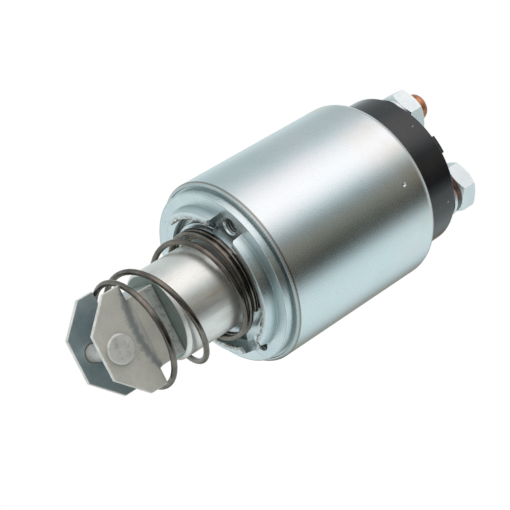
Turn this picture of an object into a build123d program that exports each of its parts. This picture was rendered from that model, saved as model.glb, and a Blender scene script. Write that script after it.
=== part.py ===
"""Starter solenoid: a drawn steel can with an iron front plate, a plunger that pulls the starter's
fork lever, and a contact bridge that joins two copper studs under a black moulded cap.

Millimetres. X is the solenoid's axis and points to the terminals, Z is up. X = 0 is the flat front
face that bolts to the starter, and the plunger leaves it towards -X. Every piece is a node of its own.
"""

import os
from math import cos, pi, radians, sin, tan

from build123d import *

# Fits and running clearances
SEAT_FIT = 0.05  # gap between pieces that are pushed into one another and do not move
SLEEVE_CLEARANCE = 0.08  # radial gap of the plunger in its brass sleeve
ROD_CLEARANCE = 0.06  # radial gap of the push rod in the pole core
STUD_FIT = 0.05  # radial gap of the studs in the cap, the washers and the nuts
STOP_GAP = 0.2  # what is left between two stops at the end of the travel
REST_GAP = 0.1  # what is left between a stop and the piece that rests on it

# Travel
STROKE = 11.0  # plunger, from rest to the pole core
CONTACT_TRAVEL = 3.0  # contact bridge, from rest to the stud heads

# Steel can, drawn from sheet and rolled over the cap's flange at the rear
CAN_R = 33.0
CAN_WALL = 2.4
CAN_REAR_STEP = 0.5  # the wall is turned thinner at the rear, so that the core has a shoulder
CAN_FRONT_BEVEL = 0.8
CAN_REAR_ROUND = 3.6
PUNCH_MARK_R = 1.0
PUNCH_MARK_X = 59.5
PUNCH_MARK_ANGLE = 189.6

# Front plate: pilot, mounting face, spigot ring in three arcs, boss under the spring
PILOT_HEIGHT = 3.2  # the plate stands this far out of the can
PILOT_BEVEL = 0.7
PLATE_THICKNESS = 9.0
RING_OUTER_R = 26.4
RING_WALL = 3.0
RING_HEIGHT = 4.3
RING_BEVEL = 0.5
BOSS_MARGIN = 0.9  # the boss is this much larger in radius than the spring
BOSS_HEIGHT = 1.2
GROOVE_DEPTH = 0.6
BOLT_COUNT = 3
BOLT_CIRCLE_R = 24.75
BOLT_R = 3.0  # M6, at the major diameter; the thread itself is surface detail
BOLT_DEPTH = 7.5
SPOT_FACE_R = 5.7
FIRST_BOLT_ANGLE = 30.0
RING_CUT_ANGLE = 49.0  # the ring is milled down beyond a flat that faces this way
RING_CUT_REACH = 19.1
RING_CUT_STEP = 0.4  # what is left standing there

# Winding, bobbin and guide sleeve
COIL_LENGTH = 45.9
SLEEVE_WALL = 0.5
BOBBIN_WALL = 1.1
BOBBIN_FLANGE = 1.5
BOBBIN_GAP = 0.8  # radial gap from the bobbin's flanges to the can
PULL_IN_EXTRA = 0.41  # the pull-in winding is this much deeper than half the room for both
HOLD_IN_GAP = 2.2  # from the outside of the hold-in winding to the flanges' edge
WRAP_WALL = 0.5

# Pole core, gasket and moulded cap
CORE_DISC = 6.0
CORE_BEVEL = 1.0
GASKET_THICKNESS = 1.5
GASKET_WIDTH = 3.4
CAP_FLANGE = 4.8
CAP_HEIGHT = 14.7  # how far the cap stands out of the can
CAP_SET_IN = 4.9  # the cap's rear edge is this much smaller in radius than the can
CAP_TAPER = 0.1  # the cap is this much wider in radius where it leaves the can
CAP_WALL = 2.6
CAP_FLOOR = 5.0
CAP_ROUND = 0.9
PAD_HEIGHT = 1.0  # raised pad on the rear rim, between the two studs
PAD_HALF_ANGLE = 7.0
PAD_WIDTH = 5.5
SPRING_POCKET_R = 7.4
SPRING_POCKET_DEPTH = 2.2

# Plunger, its tongue and the two fork plates
PLUNGER_R = 15.84
PLUNGER_REACH = 28.0  # how far it stands out of the mounting face at rest
PLUNGER_LENGTH = 55.0
PLUNGER_BEVEL = 1.1
TONGUE_THICKNESS = 12.0
TONGUE_LENGTH = 9.0
TONGUE_ROUND = 1.5
FORK_SHEET = 1.8
FORK_JOGGLE = 1.9  # each head stands this far outside its neck
JOGGLE_LENGTH = 2.6
JOGGLE_END = 0.2  # the joggle ends this far in front of the shoulders
NECK_HALF = 12.0
HEAD_HALF = 17.2
HEAD_LENGTH = 15.3
HEAD_EDGE = 5.8  # the straight top and bottom edges of the head
NOSE_HALF = 8.0
NECK_LENGTH = 12.1
FORK_DROP = 0.5  # tongue, plates and pin lie this far off the plunger's centre
PLUNGER_TURN = 10.3  # the plunger is free to turn, and stands turned this far in the photograph
LINK_PIN_R = 3.0
LINK_PIN_SET_BACK = 9.0  # from the shoulders of the heads to the pin
PIN_HEAD_R = 4.9
PIN_HEAD = 1.6
PIN_HEAD_BEVEL = 0.5

# Return spring, closed turns at both ends and open turns in the middle
SPRING_WIRE_R = 1.0
SPRING_R = 18.8
SPRING_TURNS = 4.7
SPRING_OPENS = 0.80  # turns counted from the front end
SPRING_CLOSES = 2.83
SPRING_START_ANGLE = -21.8
SPRING_SAG = 1.0  # the free front end hangs this much lower
CLOSED_PITCH_GAP = 0.05
SPRING_SIDES = 8
POINTS_PER_TURN = 8

# Terminal studs, their seals, washers and nuts
STUD_R = 5.0
STUD_CIRCLE_R = 20.0
STUD_HALF_SPREAD = 50.0  # each stud stands this far from the horizontal, on the -Y side
STUD_REACH = 14.8  # beyond the cap's rear face
STUD_ROUND = 2.2
STUD_HEAD = 3.5
STUD_HEAD_WIDTH = 14.0
STUD_HEAD_INNER_R = 11.0
SEAL_WIDTH = 1.6
SEAL_THICKNESS = 1.0
WASHER_R = 9.6
WASHER_THICKNESS = 1.5
NUT_ACROSS_FLATS = 16.0
NUT_HEIGHT = 6.8
NUT_FACE_INSET = 0.2  # the flat face's circle is this much smaller in radius than the flats' own
NUT_CHAMFER_ANGLE = 30.0
MOTOR_NUT_LIFT = 2.6  # this nut is not run down, as photographed
NUT_TURNS = {"battery": 6.4, "motor": 15.6}

# Control terminal and the winding's leads
BLADE_WIDTH = 6.3
BLADE_THICKNESS = 0.8
BLADE_LENGTH = 8.5
BLADE_FOOT = 9.0
BLADE_SET_IN = 1.3  # from the cap's inner wall to the rivet's inner head
BLADE_RIVET_R = 1.6
RIVET_HEAD_R = 2.6
RIVET_HEAD = 1.0
RIVET_INNER_HEAD_R = 3.9
LEAD_R = 0.9
LEAD_OFFSET = 2.3  # the leads lie this much further out than the rivet
LEAD_HOLE_R = 2.9
MOTOR_LEAD_ANGLE = 240.0
CONTROL_LEAD_ANGLE = 0.0

# Contact carrier: push rod, bush, bridge, washer, clip and two small springs
ROD_R = 3.0
ROD_COLLAR_R = 5.6
ROD_COLLAR = 1.4
ROD_TAIL = 2.4
BRIDGE_GAP = 2.4  # from the contact bridge's edge to the leads
BRIDGE_THICKNESS = 2.4
BUSH_FLANGE_R = 8.2
BUSH_FLANGE = 1.4
BUSH_WALL = 1.2
INSULATOR_THICKNESS = 1.2
CLIP_R = 4.9
CLIP_THICKNESS = 0.8
CLIP_GROOVE = 0.6
CONTACT_SPRING_R = 4.6
CONTACT_SPRING_WIRE_R = 0.55
CONTACT_SPRING_TURNS = 4.0
KICK_SPRING_R = 6.3
KICK_SPRING_WIRE_R = 0.4
KICK_SPRING_TURNS = 4.5
SMALL_SPRING_SIDES = 6

# Places along X that follow from the sizes above
can_inner_r = CAN_R - CAN_WALL
can_rear_inner_r = can_inner_r + CAN_REAR_STEP
coil_front = PLATE_THICKNESS + SEAT_FIT
coil_rear = coil_front + COIL_LENGTH
core_front = coil_rear + SEAT_FIT
core_rear = core_front + CORE_DISC
cap_front = core_rear + GASKET_THICKNESS
lip_front = cap_front + CAP_FLANGE + SEAT_FIT
can_rear = lip_front + CAN_WALL
cap_rear = can_rear + CAP_HEIGHT
cap_floor = cap_rear - CAP_FLOOR
contact_face = cap_floor - STUD_HEAD
plunger_front = -PLUNGER_REACH
plunger_rear = plunger_front + PLUNGER_LENGTH
nose_face = plunger_rear + STROKE + STOP_GAP
rod_front = plunger_rear + STROKE - CONTACT_TRAVEL + STOP_GAP
bridge_rear = contact_face - CONTACT_TRAVEL - REST_GAP
bridge_front = bridge_rear - BRIDGE_THICKNESS
insulator_rear = bridge_rear + INSULATOR_THICKNESS
clip_rear = insulator_rear + CLIP_THICKNESS
collar_front = core_rear + REST_GAP
bush_front = bridge_front - BUSH_FLANGE
rod_rear = clip_rear + ROD_TAIL
shoulder_x = plunger_front - NECK_LENGTH
head_front = shoulder_x - HEAD_LENGTH
link_pin_x = shoulder_x - LINK_PIN_SET_BACK
washer_rear = cap_rear + WASHER_THICKNESS
sleeve_inner_r = PLUNGER_R + SLEEVE_CLEARANCE
sleeve_outer_r = sleeve_inner_r + SLEEVE_WALL
bobbin_inner_r = sleeve_outer_r + SEAT_FIT
bobbin_outer_r = bobbin_inner_r + BOBBIN_WALL
bobbin_flange_r = can_inner_r - BOBBIN_GAP
pull_in_inner_r = bobbin_outer_r + SEAT_FIT
hold_in_r = bobbin_flange_r - HOLD_IN_GAP
pull_in_r = (pull_in_inner_r + hold_in_r) / 2 + PULL_IN_EXTRA
boss_r = SPRING_R + SPRING_WIRE_R + BOSS_MARGIN
fork_neck_inner = TONGUE_THICKNESS / 2
fork_head_outer = fork_neck_inner + FORK_JOGGLE + FORK_SHEET
cap_r = CAN_R - CAP_SET_IN
cap_inner_r = cap_r - CAP_WALL
blade_circle_r = cap_inner_r - RIVET_INNER_HEAD_R - BLADE_SET_IN
lead_circle_r = blade_circle_r + LEAD_OFFSET
bridge_r = lead_circle_r - LEAD_R - BRIDGE_GAP


def on_circle(radius, angle):
    """Y and Z of a point at an angle from +Y towards +Z."""
    return radius * cos(radians(angle)), radius * sin(radians(angle))


def turned(*profile):
    """Body of revolution about the axis, from its half outline as points of X and radius."""
    return revolve(make_face(Polyline(*profile, close=True)), Axis.X)


def rod(radius, start, end, y=0.0, z=0.0):
    """Round bar along X."""
    place = Location((start, y, z)) * Rotation(0, 90, 0)
    return place * Cylinder(radius, end - start, align=(Align.CENTER, Align.CENTER, Align.MIN))


def tube(outer, inner, start, end, y=0.0, z=0.0):
    """Plain sleeve along X."""
    return rod(outer, start, end, y, z) - rod(inner, start, end, y, z)


def rounded_ends(solid, x, radius):
    """Rounds the edges that lie in the plane at X = x."""
    edges = solid.edges().filter_by_position(Axis.X, x - 0.001, x + 0.001)
    return fillet(edges, radius)


def bevelled_ends(solid, x, length):
    """Bevels the edges that lie in the plane at X = x."""
    edges = solid.edges().filter_by_position(Axis.X, x - 0.001, x + 0.001)
    return chamfer(edges, length)


def coil_of_wire(place_at, turns, wire_r, sides):
    """Sweeps a wire along a coil; place_at gives X, Y and Z for a number of turns."""
    steps = round(turns * POINTS_PER_TURN)
    path = Spline(*[place_at(turns * step / steps) for step in range(steps + 1)])
    # A flat-sided wire whose section has the area of the round one
    corner_r = wire_r * (2 * pi / (sides * sin(radians(360 / sides)))) ** 0.5
    section = Plane(path @ 0, z_dir=path % 0) * RegularPolygon(corner_r, sides)
    return sweep(section, path, is_frenet=True)


def housing_can():
    """Steel can: bevelled front rim, shoulder for the core, rear lip rolled in over the cap."""
    front = PILOT_HEIGHT
    lip_r = cap_r + CAP_TAPER + SEAT_FIT * 4
    shell = turned(
        (front, can_inner_r + CAN_FRONT_BEVEL / 2),
        (front, CAN_R - CAN_FRONT_BEVEL),
        (front + CAN_FRONT_BEVEL, CAN_R),
        (can_rear, CAN_R),
        (can_rear, lip_r),
        (lip_front, lip_r),
        (lip_front, can_rear_inner_r),
        (core_front, can_rear_inner_r),
        (core_front, can_inner_r),
        (front + CAN_FRONT_BEVEL / 2, can_inner_r),
    )
    outer_rim = shell.edges().filter_by_position(Axis.X, can_rear - 0.001, can_rear + 0.001)
    rear_round = min(CAN_REAR_ROUND, (CAN_R - lip_r) * 0.9)
    shell = fillet(outer_rim.sort_by(SortBy.RADIUS)[-1], rear_round)
    mark_y, mark_z = on_circle(CAN_R + PUNCH_MARK_R / 2, PUNCH_MARK_ANGLE)
    return shell - Location((PUNCH_MARK_X, mark_y, mark_z)) * Sphere(PUNCH_MARK_R)


def front_plate():
    """Iron front plate with pilot, spigot ring in three arcs, spring boss and tapped holes."""
    plate_r = can_inner_r - SEAT_FIT
    ring_inner_r = RING_OUTER_R - RING_WALL
    bore_r = sleeve_outer_r + SEAT_FIT
    plate = turned(
        (-BOSS_HEIGHT, bore_r),
        (-BOSS_HEIGHT, boss_r),
        (GROOVE_DEPTH, boss_r),
        (GROOVE_DEPTH, ring_inner_r),
        (-RING_HEIGHT + RING_BEVEL, ring_inner_r),
        (-RING_HEIGHT, ring_inner_r + RING_BEVEL),
        (-RING_HEIGHT, RING_OUTER_R - RING_BEVEL),
        (-RING_HEIGHT + RING_BEVEL, RING_OUTER_R),
        (0, RING_OUTER_R),
        (0, plate_r - PILOT_BEVEL),
        (PILOT_BEVEL, plate_r),
        (PLATE_THICKNESS, plate_r),
        (PLATE_THICKNESS, bore_r),
    )
    cut = Box(RING_HEIGHT, CAN_R, CAN_R * 2, align=(Align.MAX, Align.MIN, Align.CENTER))
    cut = Rotation(RING_CUT_ANGLE, 0, 0) * Location((-RING_CUT_STEP, RING_CUT_REACH, 0)) * cut
    plate -= cut - rod((boss_r + ring_inner_r) / 2, -RING_HEIGHT * 2, 0)
    for bolt in range(BOLT_COUNT):
        y, z = on_circle(BOLT_CIRCLE_R, FIRST_BOLT_ANGLE + 360 / BOLT_COUNT * bolt)
        plate -= rod(SPOT_FACE_R, -RING_HEIGHT - 1, 0, y, z)
        plate -= rod(BOLT_R, 0, BOLT_DEPTH, y, z)
    return plate


def guide_sleeve():
    """Brass tube in which the plunger slides; the core's nose closes its rear end."""
    return tube(sleeve_outer_r, sleeve_inner_r, -BOSS_HEIGHT / 2, core_front - SEAT_FIT)


def coil_bobbin():
    """Moulded bobbin that carries both windings between its flanges."""
    inner = bobbin_inner_r
    spool = turned(
        (coil_front, inner),
        (coil_front, bobbin_flange_r),
        (coil_front + BOBBIN_FLANGE, bobbin_flange_r),
        (coil_front + BOBBIN_FLANGE, bobbin_outer_r),
        (coil_rear - BOBBIN_FLANGE, bobbin_outer_r),
        (coil_rear - BOBBIN_FLANGE, bobbin_flange_r),
        (coil_rear, bobbin_flange_r),
        (coil_rear, inner),
    )
    for angle in (MOTOR_LEAD_ANGLE, CONTROL_LEAD_ANGLE):
        y, z = on_circle(lead_circle_r, angle)
        spool -= rod(LEAD_R + SEAT_FIT, coil_rear - BOBBIN_FLANGE, coil_rear, y, z)
    return spool


def winding(inner, outer):
    """One layer group of copper wire, as a closed ring between the bobbin's flanges."""
    start = coil_front + BOBBIN_FLANGE + SEAT_FIT
    end = coil_rear - BOBBIN_FLANGE - SEAT_FIT
    return tube(outer, inner, start, end)


def pole_core():
    """Fixed iron core: rear disc against the can's shoulder, nose inside the sleeve."""
    disc_r = can_rear_inner_r - SEAT_FIT
    nose_r = sleeve_inner_r - SEAT_FIT
    bore_r = ROD_R + ROD_CLEARANCE
    core = turned(
        (nose_face, bore_r),
        (nose_face, nose_r - CORE_BEVEL),
        (nose_face + CORE_BEVEL, nose_r),
        (core_front, nose_r),
        (core_front, disc_r),
        (core_rear, disc_r),
        (core_rear, bore_r),
    )
    for angle in (MOTOR_LEAD_ANGLE, CONTROL_LEAD_ANGLE):
        core -= rod(LEAD_HOLE_R, core_front, core_rear, *on_circle(lead_circle_r, angle))
    return core


def cap_gasket():
    """Flat rubber ring pressed between the core and the cap's flange."""
    outer = can_rear_inner_r - SEAT_FIT * 2
    return tube(outer, outer - GASKET_WIDTH, core_rear, cap_front)


def terminal_cap():
    """Black moulded cap: clamped flange, tapered skirt, thick floor, rim pad, stud holes."""
    flange_r = can_rear_inner_r - SEAT_FIT * 2
    skirt_r = cap_r + CAP_TAPER
    cap = turned(
        (cap_front, cap_inner_r),
        (cap_front, flange_r),
        (cap_front + CAP_FLANGE, flange_r),
        (cap_front + CAP_FLANGE, skirt_r),
        (can_rear, skirt_r),
        (cap_rear, cap_r),
        (cap_rear, 0),
        (cap_floor + SPRING_POCKET_DEPTH, 0),
        (cap_floor + SPRING_POCKET_DEPTH, SPRING_POCKET_R),
        (cap_floor, SPRING_POCKET_R),
        (cap_floor, cap_inner_r),
    )
    cap = rounded_ends(cap, cap_rear, CAP_ROUND)
    pad_outer = cap_r - CAP_ROUND / 2
    pad = tube(pad_outer, pad_outer - PAD_WIDTH, cap_rear - CAP_ROUND, cap_rear + PAD_HEIGHT)
    wedge_reach = cap_r * 2
    wedge_half = wedge_reach * tan(radians(PAD_HALF_ANGLE))
    wedge_face = Plane.YZ * make_face(
        Polyline((0, 0), (-wedge_reach, wedge_half), (-wedge_reach, -wedge_half), close=True)
    )
    pad &= Location((cap_rear - CAP_ROUND, 0, 0)) * extrude(wedge_face, CAP_ROUND + PAD_HEIGHT)
    cap += pad
    for side in (-1, 1):
        y, z = stud_place(side)
        cap -= rod(STUD_R + STUD_FIT, cap_floor, cap_rear, y, z)
        cap -= rod(STUD_R + SEAL_WIDTH + SEAT_FIT, cap_floor, cap_floor + SEAL_THICKNESS, y, z)
    cap -= rod(BLADE_RIVET_R + SEAT_FIT, cap_floor, cap_rear, *on_circle(blade_circle_r, CONTROL_LEAD_ANGLE))
    return cap


def stud_place(side):
    """Y and Z of a stud: the battery stud is the upper one, side +1."""
    return on_circle(STUD_CIRCLE_R, 180 - side * STUD_HALF_SPREAD)


def terminal_stud(side):
    """Copper stud: rounded end outside, keyed contact head inside the cap."""
    y, z = stud_place(side)
    end = cap_rear + STUD_REACH
    shank = rounded_ends(rod(STUD_R, cap_floor, end, y, z), end, STUD_ROUND)
    slab = Box(STUD_HEAD, CAN_R, STUD_HEAD_WIDTH, align=(Align.MAX, Align.MIN, Align.CENTER))
    slab = Location((cap_floor, STUD_HEAD_INNER_R, 0)) * slab
    slab = Rotation(180 - side * STUD_HALF_SPREAD, 0, 0) * slab
    head = slab & rod(cap_inner_r - SEAT_FIT * 2, contact_face, cap_floor)
    return shank + head


def stud_seals():
    """Two rubber rings, one in the recess round each stud."""
    rings = []
    for side in (-1, 1):
        y, z = stud_place(side)
        outer = STUD_R + SEAL_WIDTH
        rings.append(tube(outer, STUD_R + STUD_FIT, cap_floor + SEAT_FIT, cap_floor + SEAL_THICKNESS, y, z))
    return Compound(children=rings)


def terminal_washers():
    """Two flat washers on the cap's rear face."""
    rings = []
    for side in (-1, 1):
        y, z = stud_place(side)
        rings.append(tube(WASHER_R, STUD_R + STUD_FIT, cap_rear, washer_rear, y, z))
    return Compound(children=rings)


def hex_nut(start, y, z, turn):
    """Hexagon nut with both faces bevelled to a circle, bored at the thread's major diameter."""
    flat = NUT_ACROSS_FLATS / 2
    corner = flat / cos(radians(30))
    face_r = flat - NUT_FACE_INSET
    rise = (corner - face_r) * tan(radians(NUT_CHAMFER_ANGLE))
    blank = extrude(Plane.YZ * Rotation(0, 0, turn) * RegularPolygon(corner, 6), NUT_HEIGHT)
    envelope = turned(
        (0, 0),
        (0, face_r),
        (rise * 2, corner * 2 - face_r),
        (NUT_HEIGHT - rise * 2, corner * 2 - face_r),
        (NUT_HEIGHT, face_r),
        (NUT_HEIGHT, 0),
    )
    nut = (blank & envelope) - rod(STUD_R + STUD_FIT, 0, NUT_HEIGHT)
    nut = bevelled_bore(nut)
    return Location((start, y, z)) * nut


def bevelled_bore(nut):
    """Lead-in bevel at both ends of a nut's bore."""
    circles = nut.edges().filter_by(GeomType.CIRCLE)
    bore_edges = circles.filter_by(lambda edge: edge.radius < STUD_R + 2 * STUD_FIT)
    return chamfer(bore_edges, SEAL_THICKNESS / 2)


def terminal_nuts():
    """Battery nut run down on its washer, motor nut a little way off it."""
    battery = hex_nut(washer_rear, *stud_place(1), NUT_TURNS["battery"])
    motor = hex_nut(washer_rear + MOTOR_NUT_LIFT, *stud_place(-1), NUT_TURNS["motor"])
    return Compound(children=[battery, motor])


def control_terminal():
    """Brass blade for the switched feed, bent up from a foot on the cap."""
    y, z = on_circle(blade_circle_r, CONTROL_LEAD_ANGLE)
    low = (Align.MIN, Align.CENTER, Align.CENTER)
    foot = Location((cap_rear, y, z)) * Box(BLADE_THICKNESS, BLADE_FOOT, BLADE_WIDTH, align=low)
    blade_y = y - BLADE_FOOT / 2 + BLADE_THICKNESS / 2
    blade = Location((cap_rear, blade_y, z)) * Box(BLADE_LENGTH, BLADE_THICKNESS, BLADE_WIDTH, align=low)
    tip = cap_rear + BLADE_LENGTH
    tip_edges = blade.edges().filter_by(Axis.Y).filter_by_position(Axis.X, tip - 0.001, tip + 0.001)
    blade = chamfer(tip_edges, 1.2)
    return foot + blade - rod(BLADE_RIVET_R + SEAT_FIT, cap_rear, cap_rear + BLADE_THICKNESS, y, z)


def control_rivet():
    """Hollow-headed rivet that holds the blade and takes the windings' common lead."""
    y, z = on_circle(blade_circle_r, CONTROL_LEAD_ANGLE)
    outside = cap_rear + BLADE_THICKNESS
    shank = rod(BLADE_RIVET_R, cap_floor - RIVET_HEAD, outside + RIVET_HEAD, y, z)
    outer_head = rod(RIVET_HEAD_R, outside, outside + RIVET_HEAD, y, z)
    return shank + outer_head + rod(RIVET_INNER_HEAD_R, cap_floor - RIVET_HEAD, cap_floor, y, z)


def winding_leads():
    """Two copper leads: one to the control rivet, one to the motor stud's head."""
    start = coil_rear - BOBBIN_FLANGE
    control = rod(LEAD_R, start, cap_floor - RIVET_HEAD, *on_circle(lead_circle_r, CONTROL_LEAD_ANGLE))
    motor = rod(LEAD_R, start, contact_face, *on_circle(lead_circle_r, MOTOR_LEAD_ANGLE))
    return Compound(children=[control, motor])


def lead_grommets():
    """Two rubber bushes that keep the leads off the iron core."""
    rings = []
    for angle in (MOTOR_LEAD_ANGLE, CONTROL_LEAD_ANGLE):
        y, z = on_circle(lead_circle_r, angle)
        rings.append(tube(LEAD_HOLE_R - SEAT_FIT, LEAD_R + SEAT_FIT, core_front, core_rear, y, z))
    return Compound(children=rings)


def fork_frame():
    """Plane whose X is the solenoid's axis and whose normal is the link pin's direction."""
    pin_y, pin_z = on_circle(1, 180 + PLUNGER_TURN)
    centre = (0, -FORK_DROP * pin_z, FORK_DROP * pin_y)
    return Plane(origin=centre, x_dir=(1, 0, 0), z_dir=(0, pin_y, pin_z))


def plunger():
    """Iron plunger with a flat tongue on its nose, for the two fork plates."""
    body = bevelled_ends(rod(PLUNGER_R, plunger_front, plunger_rear), plunger_front, PLUNGER_BEVEL)
    tongue_front = plunger_front - TONGUE_LENGTH
    outline = make_face(
        Polyline(
            (tongue_front, -NECK_HALF),
            (plunger_front + PLUNGER_BEVEL, -NECK_HALF),
            (plunger_front + PLUNGER_BEVEL, NECK_HALF),
            (tongue_front, NECK_HALF),
            close=True,
        )
    )
    tongue = extrude(fork_frame() * outline, TONGUE_THICKNESS / 2, both=True)
    nose_edges = tongue.edges().filter_by_position(Axis.X, tongue_front - 0.001, tongue_front + 0.001)
    long_edges = nose_edges.sort_by(SortBy.LENGTH)[-2:]
    return body + fillet(long_edges, TONGUE_ROUND)


def fork_plate(side):
    """Joggled sheet plate: neck flat on the tongue, octagonal head set outwards by the joggle."""
    neck_rear = plunger_front - SEAT_FIT
    outline = make_face(
        Polyline(
            (neck_rear, NECK_HALF),
            (shoulder_x, NECK_HALF),
            (shoulder_x, HEAD_HALF),
            (shoulder_x - HEAD_EDGE, HEAD_HALF),
            (head_front, NOSE_HALF),
            (head_front, -NOSE_HALF),
            (shoulder_x - HEAD_EDGE, -HEAD_HALF),
            (shoulder_x, -HEAD_HALF),
            (shoulder_x, -NECK_HALF),
            (neck_rear, -NECK_HALF),
            close=True,
        )
    )
    blank = extrude(fork_frame() * outline, fork_head_outer * side)
    inner = fork_neck_inner
    step = inner + FORK_JOGGLE
    bend_front = shoulder_x - JOGGLE_END
    bend_rear = bend_front + JOGGLE_LENGTH
    section = make_face(
        Polyline(
            (neck_rear, inner),
            (bend_rear, inner),
            (bend_front, step),
            (head_front, step),
            (head_front, step + FORK_SHEET),
            (bend_front, step + FORK_SHEET),
            (bend_rear, inner + FORK_SHEET),
            (neck_rear, inner + FORK_SHEET),
            close=True,
        )
    )
    frame = fork_frame()
    across = Plane(origin=frame.origin, x_dir=(1, 0, 0), z_dir=-frame.y_dir * side)
    bent = extrude(across * section, HEAD_HALF, both=True)
    plate = blank & bent
    return plate - pin_bar(LINK_PIN_R + SEAT_FIT, fork_head_outer * 2)


def pin_bar(radius, length):
    """Round bar along the link pin's line, centred between the fork plates."""
    return fork_frame() * Location((link_pin_x, 0, 0)) * Cylinder(radius, length)


def link_pin():
    """Rivet pin through both plates, which the starter's fork lever pulls."""
    pin = pin_bar(LINK_PIN_R, fork_head_outer * 2)
    for turn in (0, 180):
        head = Cylinder(PIN_HEAD_R, PIN_HEAD, align=(Align.CENTER, Align.CENTER, Align.MIN))
        head = chamfer(head.edges().sort_by(Axis.Z)[-1], PIN_HEAD_BEVEL)
        foot = Location((link_pin_x, 0, 0)) * Rotation(turn, 0, 0) * Location((0, 0, fork_head_outer))
        pin += fork_frame() * foot * head
    return pin


def return_spring():
    """Spring between the boss and the shoulders of the fork plates; its ends are closed turns."""
    closed_pitch = SPRING_WIRE_R * 2 + CLOSED_PITCH_GAP
    front = shoulder_x + SPRING_WIRE_R + REST_GAP
    rear = -BOSS_HEIGHT - SPRING_WIRE_R - REST_GAP
    opening = rear - front - closed_pitch * SPRING_TURNS

    def place_at(turns):
        share = min(max((turns - SPRING_OPENS) / (SPRING_CLOSES - SPRING_OPENS), 0), 1)
        x = front + closed_pitch * turns + opening * share * share * (3 - 2 * share)
        y, z = on_circle(SPRING_R, SPRING_START_ANGLE + 360 * turns)
        return x, y, z - SPRING_SAG * (rear - x) / (rear - front)

    return coil_of_wire(place_at, SPRING_TURNS, SPRING_WIRE_R, SPRING_SIDES)


def small_spring(start, end, radius, wire_r, turns):
    """Evenly wound spring on the axis, between two faces."""
    low = start + wire_r + REST_GAP
    high = end - wire_r - REST_GAP

    def place_at(count):
        return low + (high - low) * count / turns, *on_circle(radius, 360 * count)

    return coil_of_wire(place_at, turns, wire_r, SMALL_SPRING_SIDES)


def push_rod():
    """Steel rod that the plunger drives into the cap, with a collar and a groove for the clip."""
    collar_rear = collar_front + ROD_COLLAR
    groove_r = ROD_R - CLIP_GROOVE
    return turned(
        (rod_front, 0),
        (rod_front, ROD_R - CLIP_GROOVE),
        (rod_front + CLIP_GROOVE, ROD_R),
        (collar_front, ROD_R),
        (collar_front, ROD_COLLAR_R),
        (collar_rear, ROD_COLLAR_R),
        (collar_rear, ROD_R),
        (insulator_rear, ROD_R),
        (insulator_rear, groove_r),
        (clip_rear, groove_r),
        (clip_rear, ROD_R),
        (rod_rear, ROD_R),
        (rod_rear, 0),
    )


def bridge_bush():
    """Flanged insulating bush between the rod and the bridge."""
    inner = ROD_R + SEAT_FIT
    return turned(
        (bush_front, inner),
        (bush_front, BUSH_FLANGE_R),
        (bridge_front, BUSH_FLANGE_R),
        (bridge_front, inner + BUSH_WALL),
        (bridge_rear, inner + BUSH_WALL),
        (bridge_rear, inner),
    )


def contact_bridge():
    """Copper disc that joins the two stud heads."""
    bridge = tube(bridge_r, ROD_R + SEAT_FIT * 2 + BUSH_WALL, bridge_front, bridge_rear)
    rims = bridge.edges().filter_by(GeomType.CIRCLE).sort_by(SortBy.RADIUS)[-2:]
    return chamfer(rims, SEAT_FIT * 8)


def rod_clip():
    """Snap ring, open at one side, in the rod's groove."""
    ring = tube(CLIP_R, ROD_R - CLIP_GROOVE + SEAT_FIT, insulator_rear, clip_rear)
    gap = Box(CLIP_THICKNESS, CLIP_R, ROD_R, align=(Align.MIN, Align.MIN, Align.CENTER))
    return ring - Location((insulator_rear, 0, 0)) * gap


nodes = {
    "housing_can": housing_can(),
    "front_plate": front_plate(),
    "guide_sleeve": guide_sleeve(),
    "coil_bobbin": coil_bobbin(),
    "pull_in_winding": winding(pull_in_inner_r, pull_in_r),
    "hold_in_winding": winding(pull_in_r + SEAT_FIT, hold_in_r),
    "winding_wrap": winding(hold_in_r + SEAT_FIT, hold_in_r + SEAT_FIT + WRAP_WALL),
    "pole_core": pole_core(),
    "cap_gasket": cap_gasket(),
    "terminal_cap": terminal_cap(),
    "battery_stud": terminal_stud(1),
    "motor_stud": terminal_stud(-1),
    "stud_seals": stud_seals(),
    "terminal_washers": terminal_washers(),
    "terminal_nuts": terminal_nuts(),
    "control_terminal": control_terminal(),
    "control_rivet": control_rivet(),
    "winding_leads": winding_leads(),
    "lead_grommets": lead_grommets(),
    "plunger": plunger(),
    "fork_plate_near": fork_plate(1),
    "fork_plate_far": fork_plate(-1),
    "link_pin": link_pin(),
    "return_spring": return_spring(),
    "push_rod": push_rod(),
    "contact_spring": small_spring(
        collar_front + ROD_COLLAR, bush_front, CONTACT_SPRING_R, CONTACT_SPRING_WIRE_R, CONTACT_SPRING_TURNS
    ),
    "bridge_bush": bridge_bush(),
    "contact_bridge": contact_bridge(),
    "bridge_insulator": tube(BUSH_FLANGE_R, ROD_R + SEAT_FIT, bridge_rear, insulator_rear),
    "rod_clip": rod_clip(),
    "kick_back_spring": small_spring(
        insulator_rear, cap_floor + SPRING_POCKET_DEPTH, KICK_SPRING_R, KICK_SPRING_WIRE_R, KICK_SPRING_TURNS
    ),
}

os.makedirs("parts", exist_ok=True)
for name, solid in nodes.items():
    export_step(solid, f"parts/{name}.step")
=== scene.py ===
from math import cos, pi, radians, sin, tan

import bpy
from mathutils import Matrix, Vector


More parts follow.
